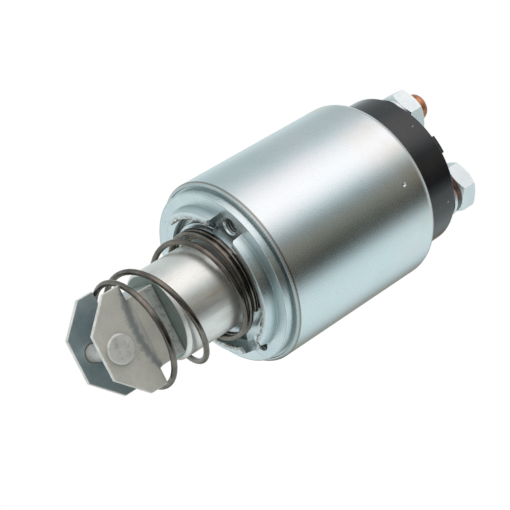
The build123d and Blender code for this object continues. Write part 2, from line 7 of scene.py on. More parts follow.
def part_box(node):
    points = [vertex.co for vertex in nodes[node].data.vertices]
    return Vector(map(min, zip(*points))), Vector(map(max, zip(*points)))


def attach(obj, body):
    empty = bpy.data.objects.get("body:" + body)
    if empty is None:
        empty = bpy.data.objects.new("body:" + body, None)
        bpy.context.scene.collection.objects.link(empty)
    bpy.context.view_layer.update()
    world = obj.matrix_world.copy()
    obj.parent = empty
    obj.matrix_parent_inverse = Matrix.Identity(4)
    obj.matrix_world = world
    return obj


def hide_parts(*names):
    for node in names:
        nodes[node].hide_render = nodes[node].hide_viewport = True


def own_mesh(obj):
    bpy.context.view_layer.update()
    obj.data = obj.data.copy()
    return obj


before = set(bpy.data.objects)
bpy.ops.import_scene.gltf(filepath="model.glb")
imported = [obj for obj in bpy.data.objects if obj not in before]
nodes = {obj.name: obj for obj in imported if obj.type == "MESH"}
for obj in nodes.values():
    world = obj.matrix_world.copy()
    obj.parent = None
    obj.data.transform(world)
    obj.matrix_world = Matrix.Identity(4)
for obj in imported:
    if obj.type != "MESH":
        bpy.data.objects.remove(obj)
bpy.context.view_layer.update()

MM = 0.001

# Camera at the photograph's viewing angle: off the plunger's end, level with the axis, and rolled
# about its line of sight, so that the solenoid lies slantwise in the picture.
CAMERA_SENSOR = 36.0
CAMERA_LENS = 108.885
CAMERA_PLACE = (
    (0.723624, 0.444966, -0.527610, -0.2551454),
    (-0.447328, -0.279788, -0.849480, -0.4364047),
    (-0.525609, 0.850719, -0.003416, -0.001094),
    (0.0, 0.0, 0.0, 1.0),
)
camera_data = bpy.data.cameras.new("photo_camera")
camera_data.sensor_width = CAMERA_SENSOR
camera_data.lens = CAMERA_LENS
camera = bpy.data.objects.new("photo_camera", camera_data)
bpy.context.scene.collection.objects.link(camera)
camera.matrix_world = Matrix(CAMERA_PLACE)
bpy.context.scene.camera = camera
bpy.context.scene.view_settings.view_transform = "Standard"

# Studio round the solenoid: pale walls with a dark part low on the camera's side, which bright metal
# shows as its dark band. The level runs round the solenoid's axis, in degrees from +Y towards +Z.
STUDIO_LEVELS = (
    (0, 0.66), (20, 0.93), (34, 0.90), (50, 0.70), (80, 0.67), (96, 0.82), (112, 1.18), (128, 1.42),
    (146, 1.50), (158, 1.27), (168, 0.86), (180, 0.35), (192, 0.27), (203, 0.20), (213, 0.09),
    (226, 0.05), (238, 0.47), (248, 1.00), (262, 1.05), (284, 1.04), (302, 0.97), (320, 0.58),
    (330, 0.28), (346, 0.33),
)
STUDIO_DARK_TINT = (1.08, 1.0, 0.82)
STUDIO_MIDDLE_TINT = (0.88, 0.98, 1.0)
STUDIO_BRIGHT_TINT = (1.03, 1.0, 1.0)
STUDIO_FRONT = (0.92, 1.0, 1.01)
STUDIO_ENDS = (0.62, 0.65, 0.67)
STUDIO_FRONT_SPAN = (0.05, -0.40)
STUDIO_FAR_SPAN = (-0.15, 0.25)
STUDIO_END_SPAN = (0.55, 0.95)


def shader_node(tree, kind, sockets=None, **settings):
    """Adds a node to a material or an effect; a socket's value may be another node's output."""
    made = tree.nodes.new("ShaderNode" + kind)
    for name, value in settings.items():
        setattr(made, name, value)
    for name, value in (sockets or {}).items():
        if isinstance(value, bpy.types.NodeSocket):
            tree.links.new(value, made.inputs[name])
        else:
            made.inputs[name].default_value = value
    return made


def math_node(tree, operation, *values):
    """Result of a Math node."""
    return shader_node(tree, "Math", dict(enumerate(values)), operation=operation).outputs[0]


def times(tree, first, second):
    """Product of two values."""
    return math_node(tree, "MULTIPLY", first, second)


def rising_mask(tree, value, start, end):
    """Mask that goes from 0 where the value is at the start to 1 where it is at the end."""
    return shader_node(tree, "MapRange", {"Value": value, "From Min": start, "From Max": end}).outputs[0]


def blended(tree, factor, first, second):
    """Colour mix."""
    return shader_node(tree, "Mix", {"Factor": factor, 6: first, 7: second}, data_type="RGBA").outputs[2]


def ramp_node(tree, factor, stops):
    """Colour ramp with the given places and colours."""
    ramp = shader_node(tree, "ValToRGB", {"Fac": factor})
    elements = ramp.color_ramp.elements
    while len(elements) < len(stops):
        elements.new(1.0)
    for element, (place, colour) in zip(elements, stops):
        element.position = place
        element.color = (*colour, 1.0)
    return ramp.outputs["Color"]


def tinted(level):
    """Colour of a part of the studio: the dark side is warm, the walls a little cool, the top white."""
    if level < 0.35:
        tint = STUDIO_DARK_TINT
    else:
        tint = STUDIO_BRIGHT_TINT if level > 1.1 else STUDIO_MIDDLE_TINT
    return tuple(level * part for part in tint)


world = bpy.data.worlds.new("studio")
bpy.context.scene.world = world
world.use_nodes = True
tree = world.node_tree
tree.nodes.clear()
direction = shader_node(tree, "TexCoord").outputs["Generated"]
parts = shader_node(tree, "SeparateXYZ", {"Vector": direction}).outputs
turn = math_node(tree, "ARCTAN2", parts["Z"], parts["Y"])
turn_share = math_node(tree, "FRACT", times(tree, turn, 1 / (2 * pi)))
stops = [(degrees / 360, tinted(level)) for degrees, level in STUDIO_LEVELS]
stops.append((1.0, stops[0][1]))
around = ramp_node(tree, turn_share, stops)
on_far_side = rising_mask(tree, parts["Y"], *STUDIO_FAR_SPAN)
to_front = times(tree, rising_mask(tree, parts["X"], *STUDIO_FRONT_SPAN), on_far_side)
sides = blended(tree, to_front, around, (*STUDIO_FRONT, 1))
to_ends = rising_mask(tree, times(tree, parts["X"], parts["X"]), *STUDIO_END_SPAN)
ends = blended(tree, to_ends, sides, (*STUDIO_ENDS, 1))
shown = blended(tree, shader_node(tree, "LightPath").outputs["Is Camera Ray"], ends, (1, 1, 1, 1))
background = shader_node(tree, "Background", {"Color": shown, "Strength": 1.0})
shader_node(tree, "OutputWorld", {"Surface": background.outputs[0]})

# Large soft lamp over the rear, on the side that the photograph is lit from. The metal doesn't
# reflect it: what the metal shows are the studio's levels.
LAMP_SIZE = (0.55, 0.8)
LAMP_POWER = 2.0
LAMP_DISTANCE = 1.2
LAMP_DIRECTION = (0.40, -0.64, 0.66)
lamp_data = bpy.data.lights.new("soft_lamp", "AREA")
lamp_data.shape = "RECTANGLE"
lamp_data.size, lamp_data.size_y = LAMP_SIZE
lamp_data.energy = LAMP_POWER
lamp = bpy.data.objects.new("soft_lamp", lamp_data)
bpy.context.scene.collection.objects.link(lamp)
lamp_direction = Vector(LAMP_DIRECTION).normalized()
lamp_aim = lamp_direction.to_track_quat("Z", "X").to_matrix().to_4x4()
lamp.matrix_world = Matrix.Translation(lamp_direction * LAMP_DISTANCE) @ lamp_aim
lamp.visible_camera = False
lamp.visible_glossy = False

# Plain pale floor, well below the solenoid, which keeps a faint shadow and looks nearly white to
# the camera, as the photograph's ground does.
FLOOR_SIZE = 3.0
FLOOR_Z = -0.11
FLOOR_COLOUR = (0.86, 0.88, 0.89, 1)
FLOOR_GLOW = 1.03
FLOOR_GLOW_SHARE = 0.93
bpy.ops.mesh.primitive_plane_add(size=FLOOR_SIZE, location=(0, 0, FLOOR_Z))
floor = bpy.context.object
floor.name = "floor"
floor.visible_glossy = False
floor_paint = bpy.data.materials.new("floor_paint")
floor_paint.use_nodes = True
tree = floor_paint.node_tree
tree.nodes.clear()
seen = shader_node(tree, "LightPath").outputs["Is Camera Ray"]
to_camera = times(tree, seen, FLOOR_GLOW_SHARE)
paint = shader_node(tree, "BsdfDiffuse", {"Color": FLOOR_COLOUR})
glow = shader_node(tree, "Emission", {"Color": (1, 1, 1, 1), "Strength": FLOOR_GLOW})
mixed = shader_node(tree, "MixShader", {0: to_camera, 1: paint.outputs[0], 2: glow.outputs[0]})
shader_node(tree, "OutputMaterial", {"Surface": mixed.outputs[0]})
floor.data.materials.append(floor_paint)

# Coil inside the can: a moulded bobbin with two windings of enamelled wire, a paper wrap, and the
# brass sleeve that the plunger slides in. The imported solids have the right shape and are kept.
SPECK_EDGE = 0.06


def noise_value(tree, place, scale, detail=2.0, roughness=0.5, dimensions="3D"):
    """Noise over a place, or along one value where the dimensions are 1D."""
    sockets = {"W" if dimensions == "1D" else "Vector": place, "Scale": scale, "Detail": detail}
    sockets["Roughness"] = roughness
    return shader_node(tree, "TexNoise", sockets, noise_dimensions=dimensions).outputs["Fac"]


def new_effect(name, inputs, outputs):
    """Empty shader node group with named inputs and outputs; a default gives an input's kind."""
    group = bpy.data.node_groups.new(name, "ShaderNodeTree")
    for title, default in inputs:
        kind = "NodeSocketVector" if default is None else "NodeSocketFloat"
        socket = group.interface.new_socket(title, in_out="INPUT", socket_type=kind)
        if default is not None:
            socket.default_value = default
    for title in outputs:
        group.interface.new_socket(title, in_out="OUTPUT", socket_type="NodeSocketFloat")
    return group, group.nodes.new("NodeGroupInput").outputs, group.nodes.new("NodeGroupOutput").inputs


# Effect: slow clouds, fine grain and sparse specks, as plating and castings have.
surface_marks, given, result = new_effect(
    "surface_marks",
    (
        ("Place", None), ("Cloud Scale", 60.0), ("Grain Scale", 2500.0), ("Speck Scale", 900.0),
        ("Speck Share", 0.25),
    ),
    ("Cloud", "Grain", "Specks"),
)
cloud = noise_value(surface_marks, given["Place"], given["Cloud Scale"], 4.0, 0.6)
grain = noise_value(surface_marks, given["Place"], given["Grain Scale"], 2.0, 0.7)
speck = noise_value(surface_marks, given["Place"], given["Speck Scale"], 1.0)
speck_start = math_node(surface_marks, "SUBTRACT", 1.0, given["Speck Share"])
speck_end = math_node(surface_marks, "ADD", speck_start, SPECK_EDGE)
surface_marks.links.new(cloud, result["Cloud"])
surface_marks.links.new(grain, result["Grain"])
surface_marks.links.new(rising_mask(surface_marks, speck, speck_start, speck_end), result["Specks"])

# Effect: the fine lines that a lathe or a draw die leaves, rings on a face and rings round a wall.
turning_marks, given, result = new_effect(
    "turning_marks", (("Place", None), ("Lines", 3000.0)), ("Line", "Reach")
)
parts = shader_node(turning_marks, "SeparateXYZ", {"Vector": given["Place"]}).outputs
flat = shader_node(turning_marks, "CombineXYZ", {"Y": parts["Y"], "Z": parts["Z"]}).outputs[0]
reach = shader_node(turning_marks, "VectorMath", {0: flat}, operation="LENGTH").outputs["Value"]
along = math_node(turning_marks, "ADD", parts["X"], reach)
line = noise_value(turning_marks, along, given["Lines"], 3.0, 0.7, "1D")
turning_marks.links.new(line, result["Line"])
turning_marks.links.new(reach, result["Reach"])

# Effect: the edges that handling and tumbling rub bright, in broken lines. It also paints a highlight on
# every edge.
edge_wear_and_highlight, given, result = new_effect("edge_wear_and_highlight", (("Place", None), ("Width", 0.0004)), ("Rubbed And Highlit",))
true_normal = shader_node(edge_wear_and_highlight, "NewGeometry").outputs["True Normal"]
rounded = shader_node(edge_wear_and_highlight, "Bevel", {"Radius": given["Width"]}, samples=6).outputs[0]
along = shader_node(edge_wear_and_highlight, "VectorMath", {0: rounded, 1: true_normal}, operation="DOT_PRODUCT")
edge = rising_mask(edge_wear_and_highlight, along.outputs["Value"], 0.985, 0.90)
broken = rising_mask(edge_wear_and_highlight, noise_value(edge_wear_and_highlight, given["Place"], 700.0), 0.30, 0.50)
edge_wear_and_highlight.links.new(times(edge_wear_and_highlight, edge, broken), result["Rubbed And Highlit"])


def scaled(tree, value, amount, base):
    """The base plus the amount times what the value is over a half."""
    return shader_node(
        tree, "MapRange", {"Value": value, "To Min": base - amount / 2, "To Max": base + amount / 2},
        clamp=False,
    ).outputs[0]


def finish_material(
    name, metallic, roughness, tones, marks, roughness_spread=0.1, speck_tone=(0.1, 0.1, 0.1),
    speck_strength=0.6, turning=0.0, lines=3000.0, depth=0.00002, coat=0.0, mottle=0.0, edge_tone_and_highlight=None,
    edge_width=0.0004, extra=None,
):
    """Plated, moulded or rubbed surface, with the cloud's colours as tones.

    The marks are the four settings of the group surface_marks, and extra adds a piece's own tones.
    """
    material = bpy.data.materials.new(name)
    material.use_nodes = True
    tree = material.node_tree
    tree.nodes.clear()
    place = shader_node(tree, "TexCoord").outputs["Object"]
    settings = dict(zip(("Cloud Scale", "Grain Scale", "Speck Scale", "Speck Share"), marks))
    effect = shader_node(tree, "Group", {"Place": place, **settings}, node_tree=surface_marks).outputs
    turned = shader_node(tree, "Group", {"Place": place, "Lines": lines}, node_tree=turning_marks).outputs
    steps = [(0.3 + 0.4 * n / max(len(tones) - 1, 1), tone) for n, tone in enumerate(tones)]
    colour = ramp_node(tree, effect["Cloud"], steps)
    if mottle:
        shade = ramp_node(tree, effect["Grain"], ((0.36, (1 - mottle,) * 3), (0.64, (1, 1, 1))))
        colour = shader_node(
            tree, "Mix", {"Factor": 1.0, 6: colour, 7: shade}, data_type="RGBA", blend_type="MULTIPLY"
        ).outputs[2]
    specks = times(tree, effect["Specks"], speck_strength)
    colour = blended(tree, specks, colour, (*speck_tone, 1))
    rough = math_node(
        tree, "ADD", scaled(tree, effect["Cloud"], roughness_spread, roughness),
        scaled(tree, effect["Grain"], roughness_spread, 0.0),
    )
    if extra:
        colour, rough = extra(tree, place, colour, rough)
    # Rubbed edges, made lighter also as a painted highlight on the edges.
    if edge_tone_and_highlight:
        edges = shader_node(tree, "Group", {"Place": place, "Width": edge_width}, node_tree=edge_wear_and_highlight)
        colour = blended(tree, edges.outputs["Rubbed And Highlit"], colour, (*edge_tone_and_highlight, 1))
    height = math_node(tree, "ADD", effect["Grain"], scaled(tree, turned["Line"], turning, 0.0))
    bump = shader_node(tree, "Bump", {"Height": height, "Distance": depth, "Strength": 1.0})
    shader = shader_node(
        tree, "BsdfPrincipled",
        {
            "Base Color": colour, "Roughness": rough, "Metallic": metallic, "Normal": bump.outputs[0],
            "Coat Weight": coat,
        },
    )
    shader_node(tree, "OutputMaterial", {"Surface": shader.outputs[0]})
    return material


def give_finish(names, material):
    """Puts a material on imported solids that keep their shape."""
    for name in names:
        mesh = nodes[name].data
        mesh.materials.clear()
        mesh.materials.append(material)


drawn_brass = finish_material(
    "drawn_brass", 1.0, 0.3, ((0.60, 0.44, 0.20), (0.74, 0.57, 0.28)), (120.0, 3000.0, 900.0, 0.3),
    turning=0.6,
)
enamelled_wire = finish_material(
    "enamelled_wire", 1.0, 0.34, ((0.36, 0.12, 0.05), (0.60, 0.25, 0.11)), (300.0, 3000.0, 900.0, 0.2),
    turning=3.0, lines=1400.0, depth=0.0002, coat=0.4,
)
natural_nylon = finish_material(
    "natural_nylon", 0.0, 0.45, ((0.66, 0.60, 0.46), (0.76, 0.70, 0.57)), (150.0, 2500.0, 900.0, 0.3),
)
varnished_paper = finish_material(
    "varnished_paper", 0.0, 0.5, ((0.36, 0.25, 0.13), (0.50, 0.37, 0.21)), (90.0, 1600.0, 700.0, 0.35),
    depth=0.00005,
)
machined_iron = finish_material(
    "machined_iron", 1.0, 0.42, ((0.30, 0.30, 0.30), (0.44, 0.43, 0.42)), (140.0, 2200.0, 900.0, 0.35),
    turning=1.5,
)
give_finish(["guide_sleeve"], drawn_brass)
give_finish(["pull_in_winding", "hold_in_winding", "winding_leads"], enamelled_wire)
give_finish(["coil_bobbin"], natural_nylon)
give_finish(["winding_wrap"], varnished_paper)
give_finish(["pole_core"], machined_iron)

# Steel can, drawn from sheet and bright zinc plated. Its front rim is turned flat with a small
# bevel, its rear edge is rolled in over the cap, and a punch mark sits near the rear of its side.
CAN_RIM_BEVEL = 0.8
CAN_REAR_ROUND = 3.6
CAN_WALL = 2.4
CAN_LIP_R = 28.4
CAN_MOUTH_WALL = 1.35
CAN_MOUTH_DEPTH = 0.4
PUNCH_MARK_X = 59.5
PUNCH_MARK_ANGLE = 189.6
PUNCH_TIP_R = 0.95
PUNCH_TIP_OUT = 0.2
RIM_DULL_DEPTH = 0.5
low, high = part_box("housing_can")
can_front = low.x / MM
can_rear = high.x / MM
can_r = high.y / MM
core_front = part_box("coil_bobbin")[1].x / MM + 0.05


def on_circle(radius, degrees):
    """Y and Z of a place on a circle about the solenoid's axis."""
    return radius * cos(radians(degrees)), radius * sin(radians(degrees))


def outline(corners, closed=True, steps=5):
    """Points of an outline; a corner's third number is the radius that rounds it."""
    points = []
    for number, corner in enumerate(corners):
        here = Vector(corner[:2])
        at_end = not closed and number in (0, len(corners) - 1)
        if len(corner) == 2 or at_end:
            points.append(here)
            continue
        back = (Vector(corners[number - 1][:2]) - here).normalized()
        ahead = (Vector(corners[(number + 1) % len(corners)][:2]) - here).normalized()
        half = back.angle(ahead) / 2
        centre = here + (back + ahead).normalized() * corner[2] / sin(half)
        arm = here + back * corner[2] / tan(half) - centre
        sweep = arm.angle_signed(here + ahead * corner[2] / tan(half) - centre)
        for step in range(steps + 1):
            points.append(centre + Matrix.Rotation(-sweep * step / steps, 2) @ arm)
    return points


def start_edit(kind="EDGE"):
    """Enters edit mode with all corners, edges or faces of the active piece selected."""
    bpy.ops.object.mode_set(mode="EDIT")
    bpy.ops.mesh.select_mode(type=kind)
    bpy.ops.mesh.select_all(action="SELECT")


def end_edit():
    """Points all faces of the edited piece outwards and leaves edit mode."""
    bpy.ops.mesh.select_all(action="SELECT")
    bpy.ops.mesh.normals_make_consistent(inside=False)
    bpy.ops.object.mode_set(mode="OBJECT")


def turned_piece(name, corners, closed=True, facets=160, steps=5):
    """Body of revolution about X, made ring by ring from its outline of X and radius in millimetres."""
    points = outline(corners, closed, steps)
    start = points[0]
    bpy.ops.mesh.primitive_circle_add(
        vertices=facets, radius=start.y, location=(start.x, 0, 0), rotation=(0, pi / 2, 0),
        fill_type="NOTHING" if closed else "NGON",
    )
    piece = bpy.context.object
    piece.name = name
    bpy.ops.object.transform_apply()
    start_edit()
    before = start
    for point in points[1:] + (points[:1] if closed else []):
        bpy.ops.mesh.extrude_edges_move(TRANSFORM_OT_translate={"value": (point.x - before.x, 0, 0)})
        grow = point.y / before.y
        bpy.ops.transform.resize(value=(1, grow, grow), center_override=(point.x, 0, 0))
        before = point
    if not closed:
        bpy.ops.mesh.edge_face_add()
    bpy.ops.mesh.select_all(action="SELECT")
    bpy.ops.mesh.remove_doubles(threshold=0.001)
    end_edit()
    return piece


def put_at(piece, matrix):
    """Moves a piece and bakes its place into its mesh."""
    bpy.ops.object.select_all(action="DESELECT")
    piece.select_set(True)
    bpy.context.view_layer.objects.active = piece
    piece.matrix_world = matrix @ piece.matrix_world
    bpy.ops.object.transform_apply()
    return piece


def combine(piece, other, how="DIFFERENCE"):
    """Cuts another piece out of a piece, or adds it to it, and removes the other piece."""
    bpy.context.view_layer.objects.active = piece
    modifier = piece.modifiers.new("combine", "BOOLEAN")
    modifier.operation = how
    modifier.object = other
    modifier.solver = "EXACT"
    bpy.ops.object.modifier_apply(modifier="combine")
    bpy.data.objects.remove(other)
    return piece


def finish_piece(piece, material, angle=30.0):
    """Brings a piece from millimetres to metres, shades it and gives it its material."""
    put_at(piece, Matrix.Diagonal((MM, MM, MM, 1)))
    piece.data.materials.clear()
    piece.data.materials.append(material)
    bpy.ops.object.shade_smooth_by_angle(angle=radians(angle))
    modifier = piece.modifiers.new("even_shading", "WEIGHTED_NORMAL")
    modifier.keep_sharp = True
    bpy.ops.object.modifier_apply(modifier="even_shading")
    return piece


def thin_line(tree, value, place, half):
    """Mask of a thin line where the value passes a place."""
    off = math_node(tree, "ABSOLUTE", math_node(tree, "SUBTRACT", value, place))
    return rising_mask(tree, off, half * 1.6, half * 0.6)


def can_tones(tree, place, colour, rough):
    """Rose and green bloom of clear chromate, brown haze near the rear, hatched rim, dark rim corner."""
    parts = shader_node(tree, "SeparateXYZ", {"Vector": place}).outputs
    bloom = noise_value(tree, place, 22.0, 1.0)
    bloom_tones = ramp_node(
        tree, bloom, ((0.35, (0.58, 0.70, 0.70)), (0.5, (0.65, 0.72, 0.735)), (0.68, (0.72, 0.69, 0.71)))
    )
    colour = blended(tree, scaled(tree, bloom, 0.9, 0.35), colour, bloom_tones)
    haze = rising_mask(tree, noise_value(tree, place, 55.0, 3.0, 0.6), 0.42, 0.66)
    haze = times(tree, haze, rising_mask(tree, parts["X"], 0.048, 0.068))
    colour = blended(tree, haze, colour, (0.62, 0.60, 0.54, 1))
    rim_end = (can_front + RIM_DULL_DEPTH) * MM
    on_rim = rising_mask(tree, parts["X"], rim_end, rim_end - 0.0002)
    colour = blended(tree, times(tree, on_rim, 0.6), colour, (0.38, 0.42, 0.42, 1))
    turn = math_node(tree, "ARCTAN2", parts["Z"], parts["Y"])
    hatch = rising_mask(tree, noise_value(tree, turn, 95.0, dimensions="1D"), 0.40, 0.60)
    hatch = times(tree, times(tree, hatch, on_rim), 0.5)
    colour = blended(tree, hatch, colour, (0.27, 0.31, 0.31, 1))
    corner = thin_line(tree, parts["X"], (can_front + CAN_RIM_BEVEL) * MM, 0.00030)
    corner = times(tree, corner, 0.85)
    return blended(tree, corner, colour, (0.20, 0.18, 0.15, 1)), rough


can_zinc = finish_material(
    "can_zinc", 1.0, 0.27, ((0.60, 0.69, 0.705), (0.675, 0.76, 0.78)), (45.0, 2300.0, 900.0, 0.27),
    speck_tone=(0.25, 0.25, 0.24), speck_strength=0.5, turning=0.25, lines=2500.0, depth=0.000014,
    mottle=0.12, extra=can_tones,
)
can = turned_piece(
    "steel_can",
    (
        (can_front, can_r - CAN_MOUTH_WALL, 0.15), (can_front, can_r - CAN_RIM_BEVEL, 0.25),
        (can_front + CAN_RIM_BEVEL, can_r, 0.4), (PUNCH_MARK_X - 2.5, can_r), (PUNCH_MARK_X + 2.5, can_r),
        (can_rear, can_r, CAN_REAR_ROUND), (can_rear, CAN_LIP_R, 0.35), (can_rear - CAN_WALL, CAN_LIP_R),
        (can_rear - CAN_WALL, can_r - CAN_WALL + 0.5), (core_front, can_r - CAN_WALL + 0.5),
        (core_front, can_r - CAN_WALL), (can_front + CAN_MOUTH_DEPTH, can_r - CAN_WALL),
        (can_front + CAN_MOUTH_DEPTH, can_r - CAN_MOUTH_WALL, 0.15),
    ),
    facets=256, steps=8,
)
bpy.ops.mesh.primitive_uv_sphere_add(
    segments=24, ring_count=16, radius=PUNCH_TIP_R, rotation=(0, pi / 2, 0),
    location=(PUNCH_MARK_X, *on_circle(can_r + PUNCH_TIP_OUT, PUNCH_MARK_ANGLE)),
)
combine(can, bpy.context.object)
finish_piece(can, can_zinc)
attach(can, "housing")
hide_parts("housing_can")

# Iron front plate pressed into the can: the flat mounting face, a spigot ring that is interrupted
# by the spot faces of three tapped M6 holes, and a low boss under the spring.
low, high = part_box("front_plate")
plate_r = high.y / MM
plate_rear = high.x / MM
ring_front = low.x / MM
RING_OUTER_R = 26.4
RING_WALL = 3.0
RING_CUT_ANGLE = 49.0
RING_CUT_REACH = 19.1
RING_CUT_STEP = 0.4
BOSS_R = 20.7
BOSS_HEIGHT = 1.2
PLATE_BORE_R = 16.47
GROOVE_DEPTH = 2.4
BOLT_CIRCLE_R = 24.75
BOLT_ANGLES = (30.0, 150.0, 270.0)
SPOT_FACE_R = 5.6
SPOT_FACE_BEVEL = 0.7
SPOT_SLOT_START = 17.4
SLOT_BEVEL = 0.4
RING_DRAFT = 0.5
PLATE_EDGE_R = plate_r + 0.3
PLATE_NECK = 0.25
BOLT_DEPTH = 7.5
BOLT_R = 3.0
BOLT_ROOT_R = 2.5
BOLT_PITCH = 1.0
BOLT_MOUTH = 0.7
BOLT_LAND_R = 6.9
SPOT_FLOOR = 0.08
SLOT_FLOOR = 0.05
SLOT_HALF_HEIGHT = 4
MILL_HALVES = (4, 20, 50)
# Dark tone for painted shade in the groove and at the ring's foot, and for the line round the face's outer
# edge.
PLATE_SHADE_TONE = (0.32, 0.39, 0.39, 1)
ring_inner = RING_OUTER_R - RING_WALL
plate_neck = PLATE_EDGE_R - PLATE_NECK
bolt_places = [Matrix.Translation((0, *on_circle(BOLT_CIRCLE_R, angle))) for angle in BOLT_ANGLES]


def block(halves, centre):
    """Box with the given half sizes."""
    bpy.ops.mesh.primitive_cube_add(size=2)
    box = bpy.context.object
    box.scale = halves
    box.location = centre
    bpy.ops.object.transform_apply()
    return box


def rod(name, start, end, radius, facets=160, core_r=1):
    """Plain round bar along X, for a hole or a rim that is cut with it."""
    corners = ((start, core_r), (start, radius), (end, radius), (end, core_r))
    return turned_piece(name, corners, closed=False, facets=facets)


def select_corners(piece, wanted):
    """Selects the corners that a test of their place picks, in edit mode."""
    bpy.ops.object.mode_set(mode="OBJECT")
    for face in piece.data.polygons:
        face.select = False
    for edge in piece.data.edges:
        edge.select = False
    for corner in piece.data.vertices:
        corner.select = wanted(corner.co)
    bpy.ops.object.mode_set(mode="EDIT")


def split_all(place, normal, clear=False, fill=False):
    """Cuts all faces along a plane; drops what lies beyond it, and closes the cut, if asked."""
    bpy.ops.mesh.select_all(action="SELECT")
    bpy.ops.mesh.bisect(plane_co=place, plane_no=normal, use_fill=fill, clear_outer=clear)


def threaded_rod(name, crest_r, root_r, pitch, start, end, steps=32):
    """Closed rod with a helical thread, from one V profile that is turned and carried along."""
    turns = round((end - start) / pitch) + 2
    places = (
        (0.0, root_r), (0.10, root_r), (0.44, crest_r), (0.56, crest_r), (0.90, root_r), (1.0, root_r)
    )
    bpy.ops.mesh.primitive_grid_add(x_subdivisions=5, y_subdivisions=1, size=1)
    screw = bpy.context.object
    screw.name = name
    start_edit("VERT")
    select_corners(screw, lambda place: place.y > 0)
    bpy.ops.mesh.delete(type="VERT")
    bpy.ops.object.mode_set(mode="OBJECT")
    chain = sorted(screw.data.vertices, key=lambda corner: corner.co.x)
    for corner, (share, radius) in zip(chain, places):
        corner.co = (start - pitch + share * pitch, radius, 0)
    start_edit()
    for step in range(steps * turns):
        bpy.ops.mesh.extrude_edges_move(TRANSFORM_OT_translate={"value": (pitch / steps, 0, 0)})
        bpy.ops.transform.rotate(value=-2 * pi / steps, orient_axis="X", center_override=(0, 0, 0))
    bpy.ops.mesh.select_all(action="SELECT")
    bpy.ops.mesh.remove_doubles(threshold=0.002)
    split_all((end, 0, 0), (1, 0, 0), clear=True, fill=True)
    split_all((start, 0, 0), (-1, 0, 0), clear=True, fill=True)
    end_edit()
    return screw


def plate_tones(tree, place, colour, rough):
    """Brown bare metal on the ring's rough inner top, darker inside the tapped holes, painted shade in the
    groove next to the can and at the ring's foot, and a dark line round the face's outer edge.
    """
    x = shader_node(tree, "SeparateXYZ", {"Vector": place}).outputs["X"]
    reach = shader_node(tree, "Group", {"Place": place}, node_tree=turning_marks).outputs["Reach"]
    proud = rising_mask(tree, x, -0.0026, -0.0040)
    inner = rising_mask(tree, reach, 0.0251, 0.0238)
    ragged = rising_mask(tree, noise_value(tree, place, 900.0, 3.0, 0.7), 0.40, 0.56)
    bare = times(tree, times(tree, proud, inner), ragged)
    colour = blended(tree, bare, colour, (0.30, 0.24, 0.18, 1))
    rough = math_node(tree, "MULTIPLY_ADD", bare, 0.25, rough)
    # Painted shade in the groove between the plate and the can.
    groove_start = (can_front - 0.28) * MM
    groove_shade = rising_mask(tree, x, groove_start, groove_start + 0.0001)
    colour = blended(tree, groove_shade, colour, PLATE_SHADE_TONE)
    # Darker inside the tapped holes.
    hole_darkening = thin_line(tree, reach, BOLT_CIRCLE_R * MM, 0.0029)
    hole_darkening = times(tree, hole_darkening, rising_mask(tree, x, 0.0003, 0.0012))
    colour = blended(tree, hole_darkening, colour, (0.20, 0.22, 0.20, 1))
    # Painted shade at the foot of the ring, and a dark line round the face's outer edge.
    edge = thin_line(tree, reach, (PLATE_EDGE_R - 0.3) * MM, 0.00013)
    edge = times(tree, edge, rising_mask(tree, x, 0.0003, 0.0002))
    ring_foot_shade = thin_line(tree, reach, (RING_OUTER_R + 0.2) * MM, 0.00028)
    lines = times(tree, math_node(tree, "MAXIMUM", edge, ring_foot_shade), 0.75)
    return blended(tree, lines, colour, PLATE_SHADE_TONE), rough


plate_zinc = finish_material(
    "plate_zinc", 1.0, 0.30, ((0.56, 0.65, 0.67), (0.68, 0.75, 0.765)), (90.0, 2300.0, 800.0, 0.30),
    roughness_spread=0.12, speck_tone=(0.22, 0.21, 0.19), speck_strength=0.5, turning=1.2, lines=2600.0,
    mottle=0.10, edge_tone_and_highlight=(0.80, 0.83, 0.83), edge_width=0.0003, extra=plate_tones,
)
plate = turned_piece(
    "mounting_plate",
    (
        (-BOSS_HEIGHT, PLATE_BORE_R, 0.15), (-BOSS_HEIGHT, BOSS_R, 0.3), (0, BOSS_R, 0.05),
        (0, ring_inner, 0.05), (ring_front, ring_inner, 0.4), (ring_front, RING_OUTER_R - RING_DRAFT, 0.5),
        (0, RING_OUTER_R + 0.15, 0.2), (0, PLATE_EDGE_R - 0.2, 0.1), (0.2, PLATE_EDGE_R, 0.1),
        (can_front - 0.6, PLATE_EDGE_R, 0.3), (can_front - 0.3, plate_neck, 0.2),
        (can_front + 0.45, plate_neck), (can_front + 0.45, plate_r), (plate_rear, plate_r),
        (plate_rear, PLATE_BORE_R),
    ),
    facets=240, steps=4,
)

# The ring is milled flat on one side, down to a low step. The boss inside it isn't.
milled = block(MILL_HALVES, (-RING_CUT_STEP - MILL_HALVES[0], RING_CUT_REACH + MILL_HALVES[1], 0))
put_at(milled, Matrix.Rotation(radians(RING_CUT_ANGLE), 4, "X"))
combine(milled, rod("kept", -12, 2, (BOSS_R + ring_inner) / 2, 240))
combine(plate, milled)

# A channel runs between the boss and the ring, and stops at the land round each tapped hole.
channel = turned_piece(
    "channel",
    (
        (-0.3, BOSS_R + 0.04), (GROOVE_DEPTH, BOSS_R + 0.04, 0.25), (GROOVE_DEPTH, ring_inner - 0.04, 0.25),
        (-0.3, ring_inner - 0.04),
    ),
    facets=240,
)
for bolt_place in bolt_places:
    combine(channel, put_at(rod("land", -2, 4, BOLT_LAND_R, 48), bolt_place))
combine(plate, channel)

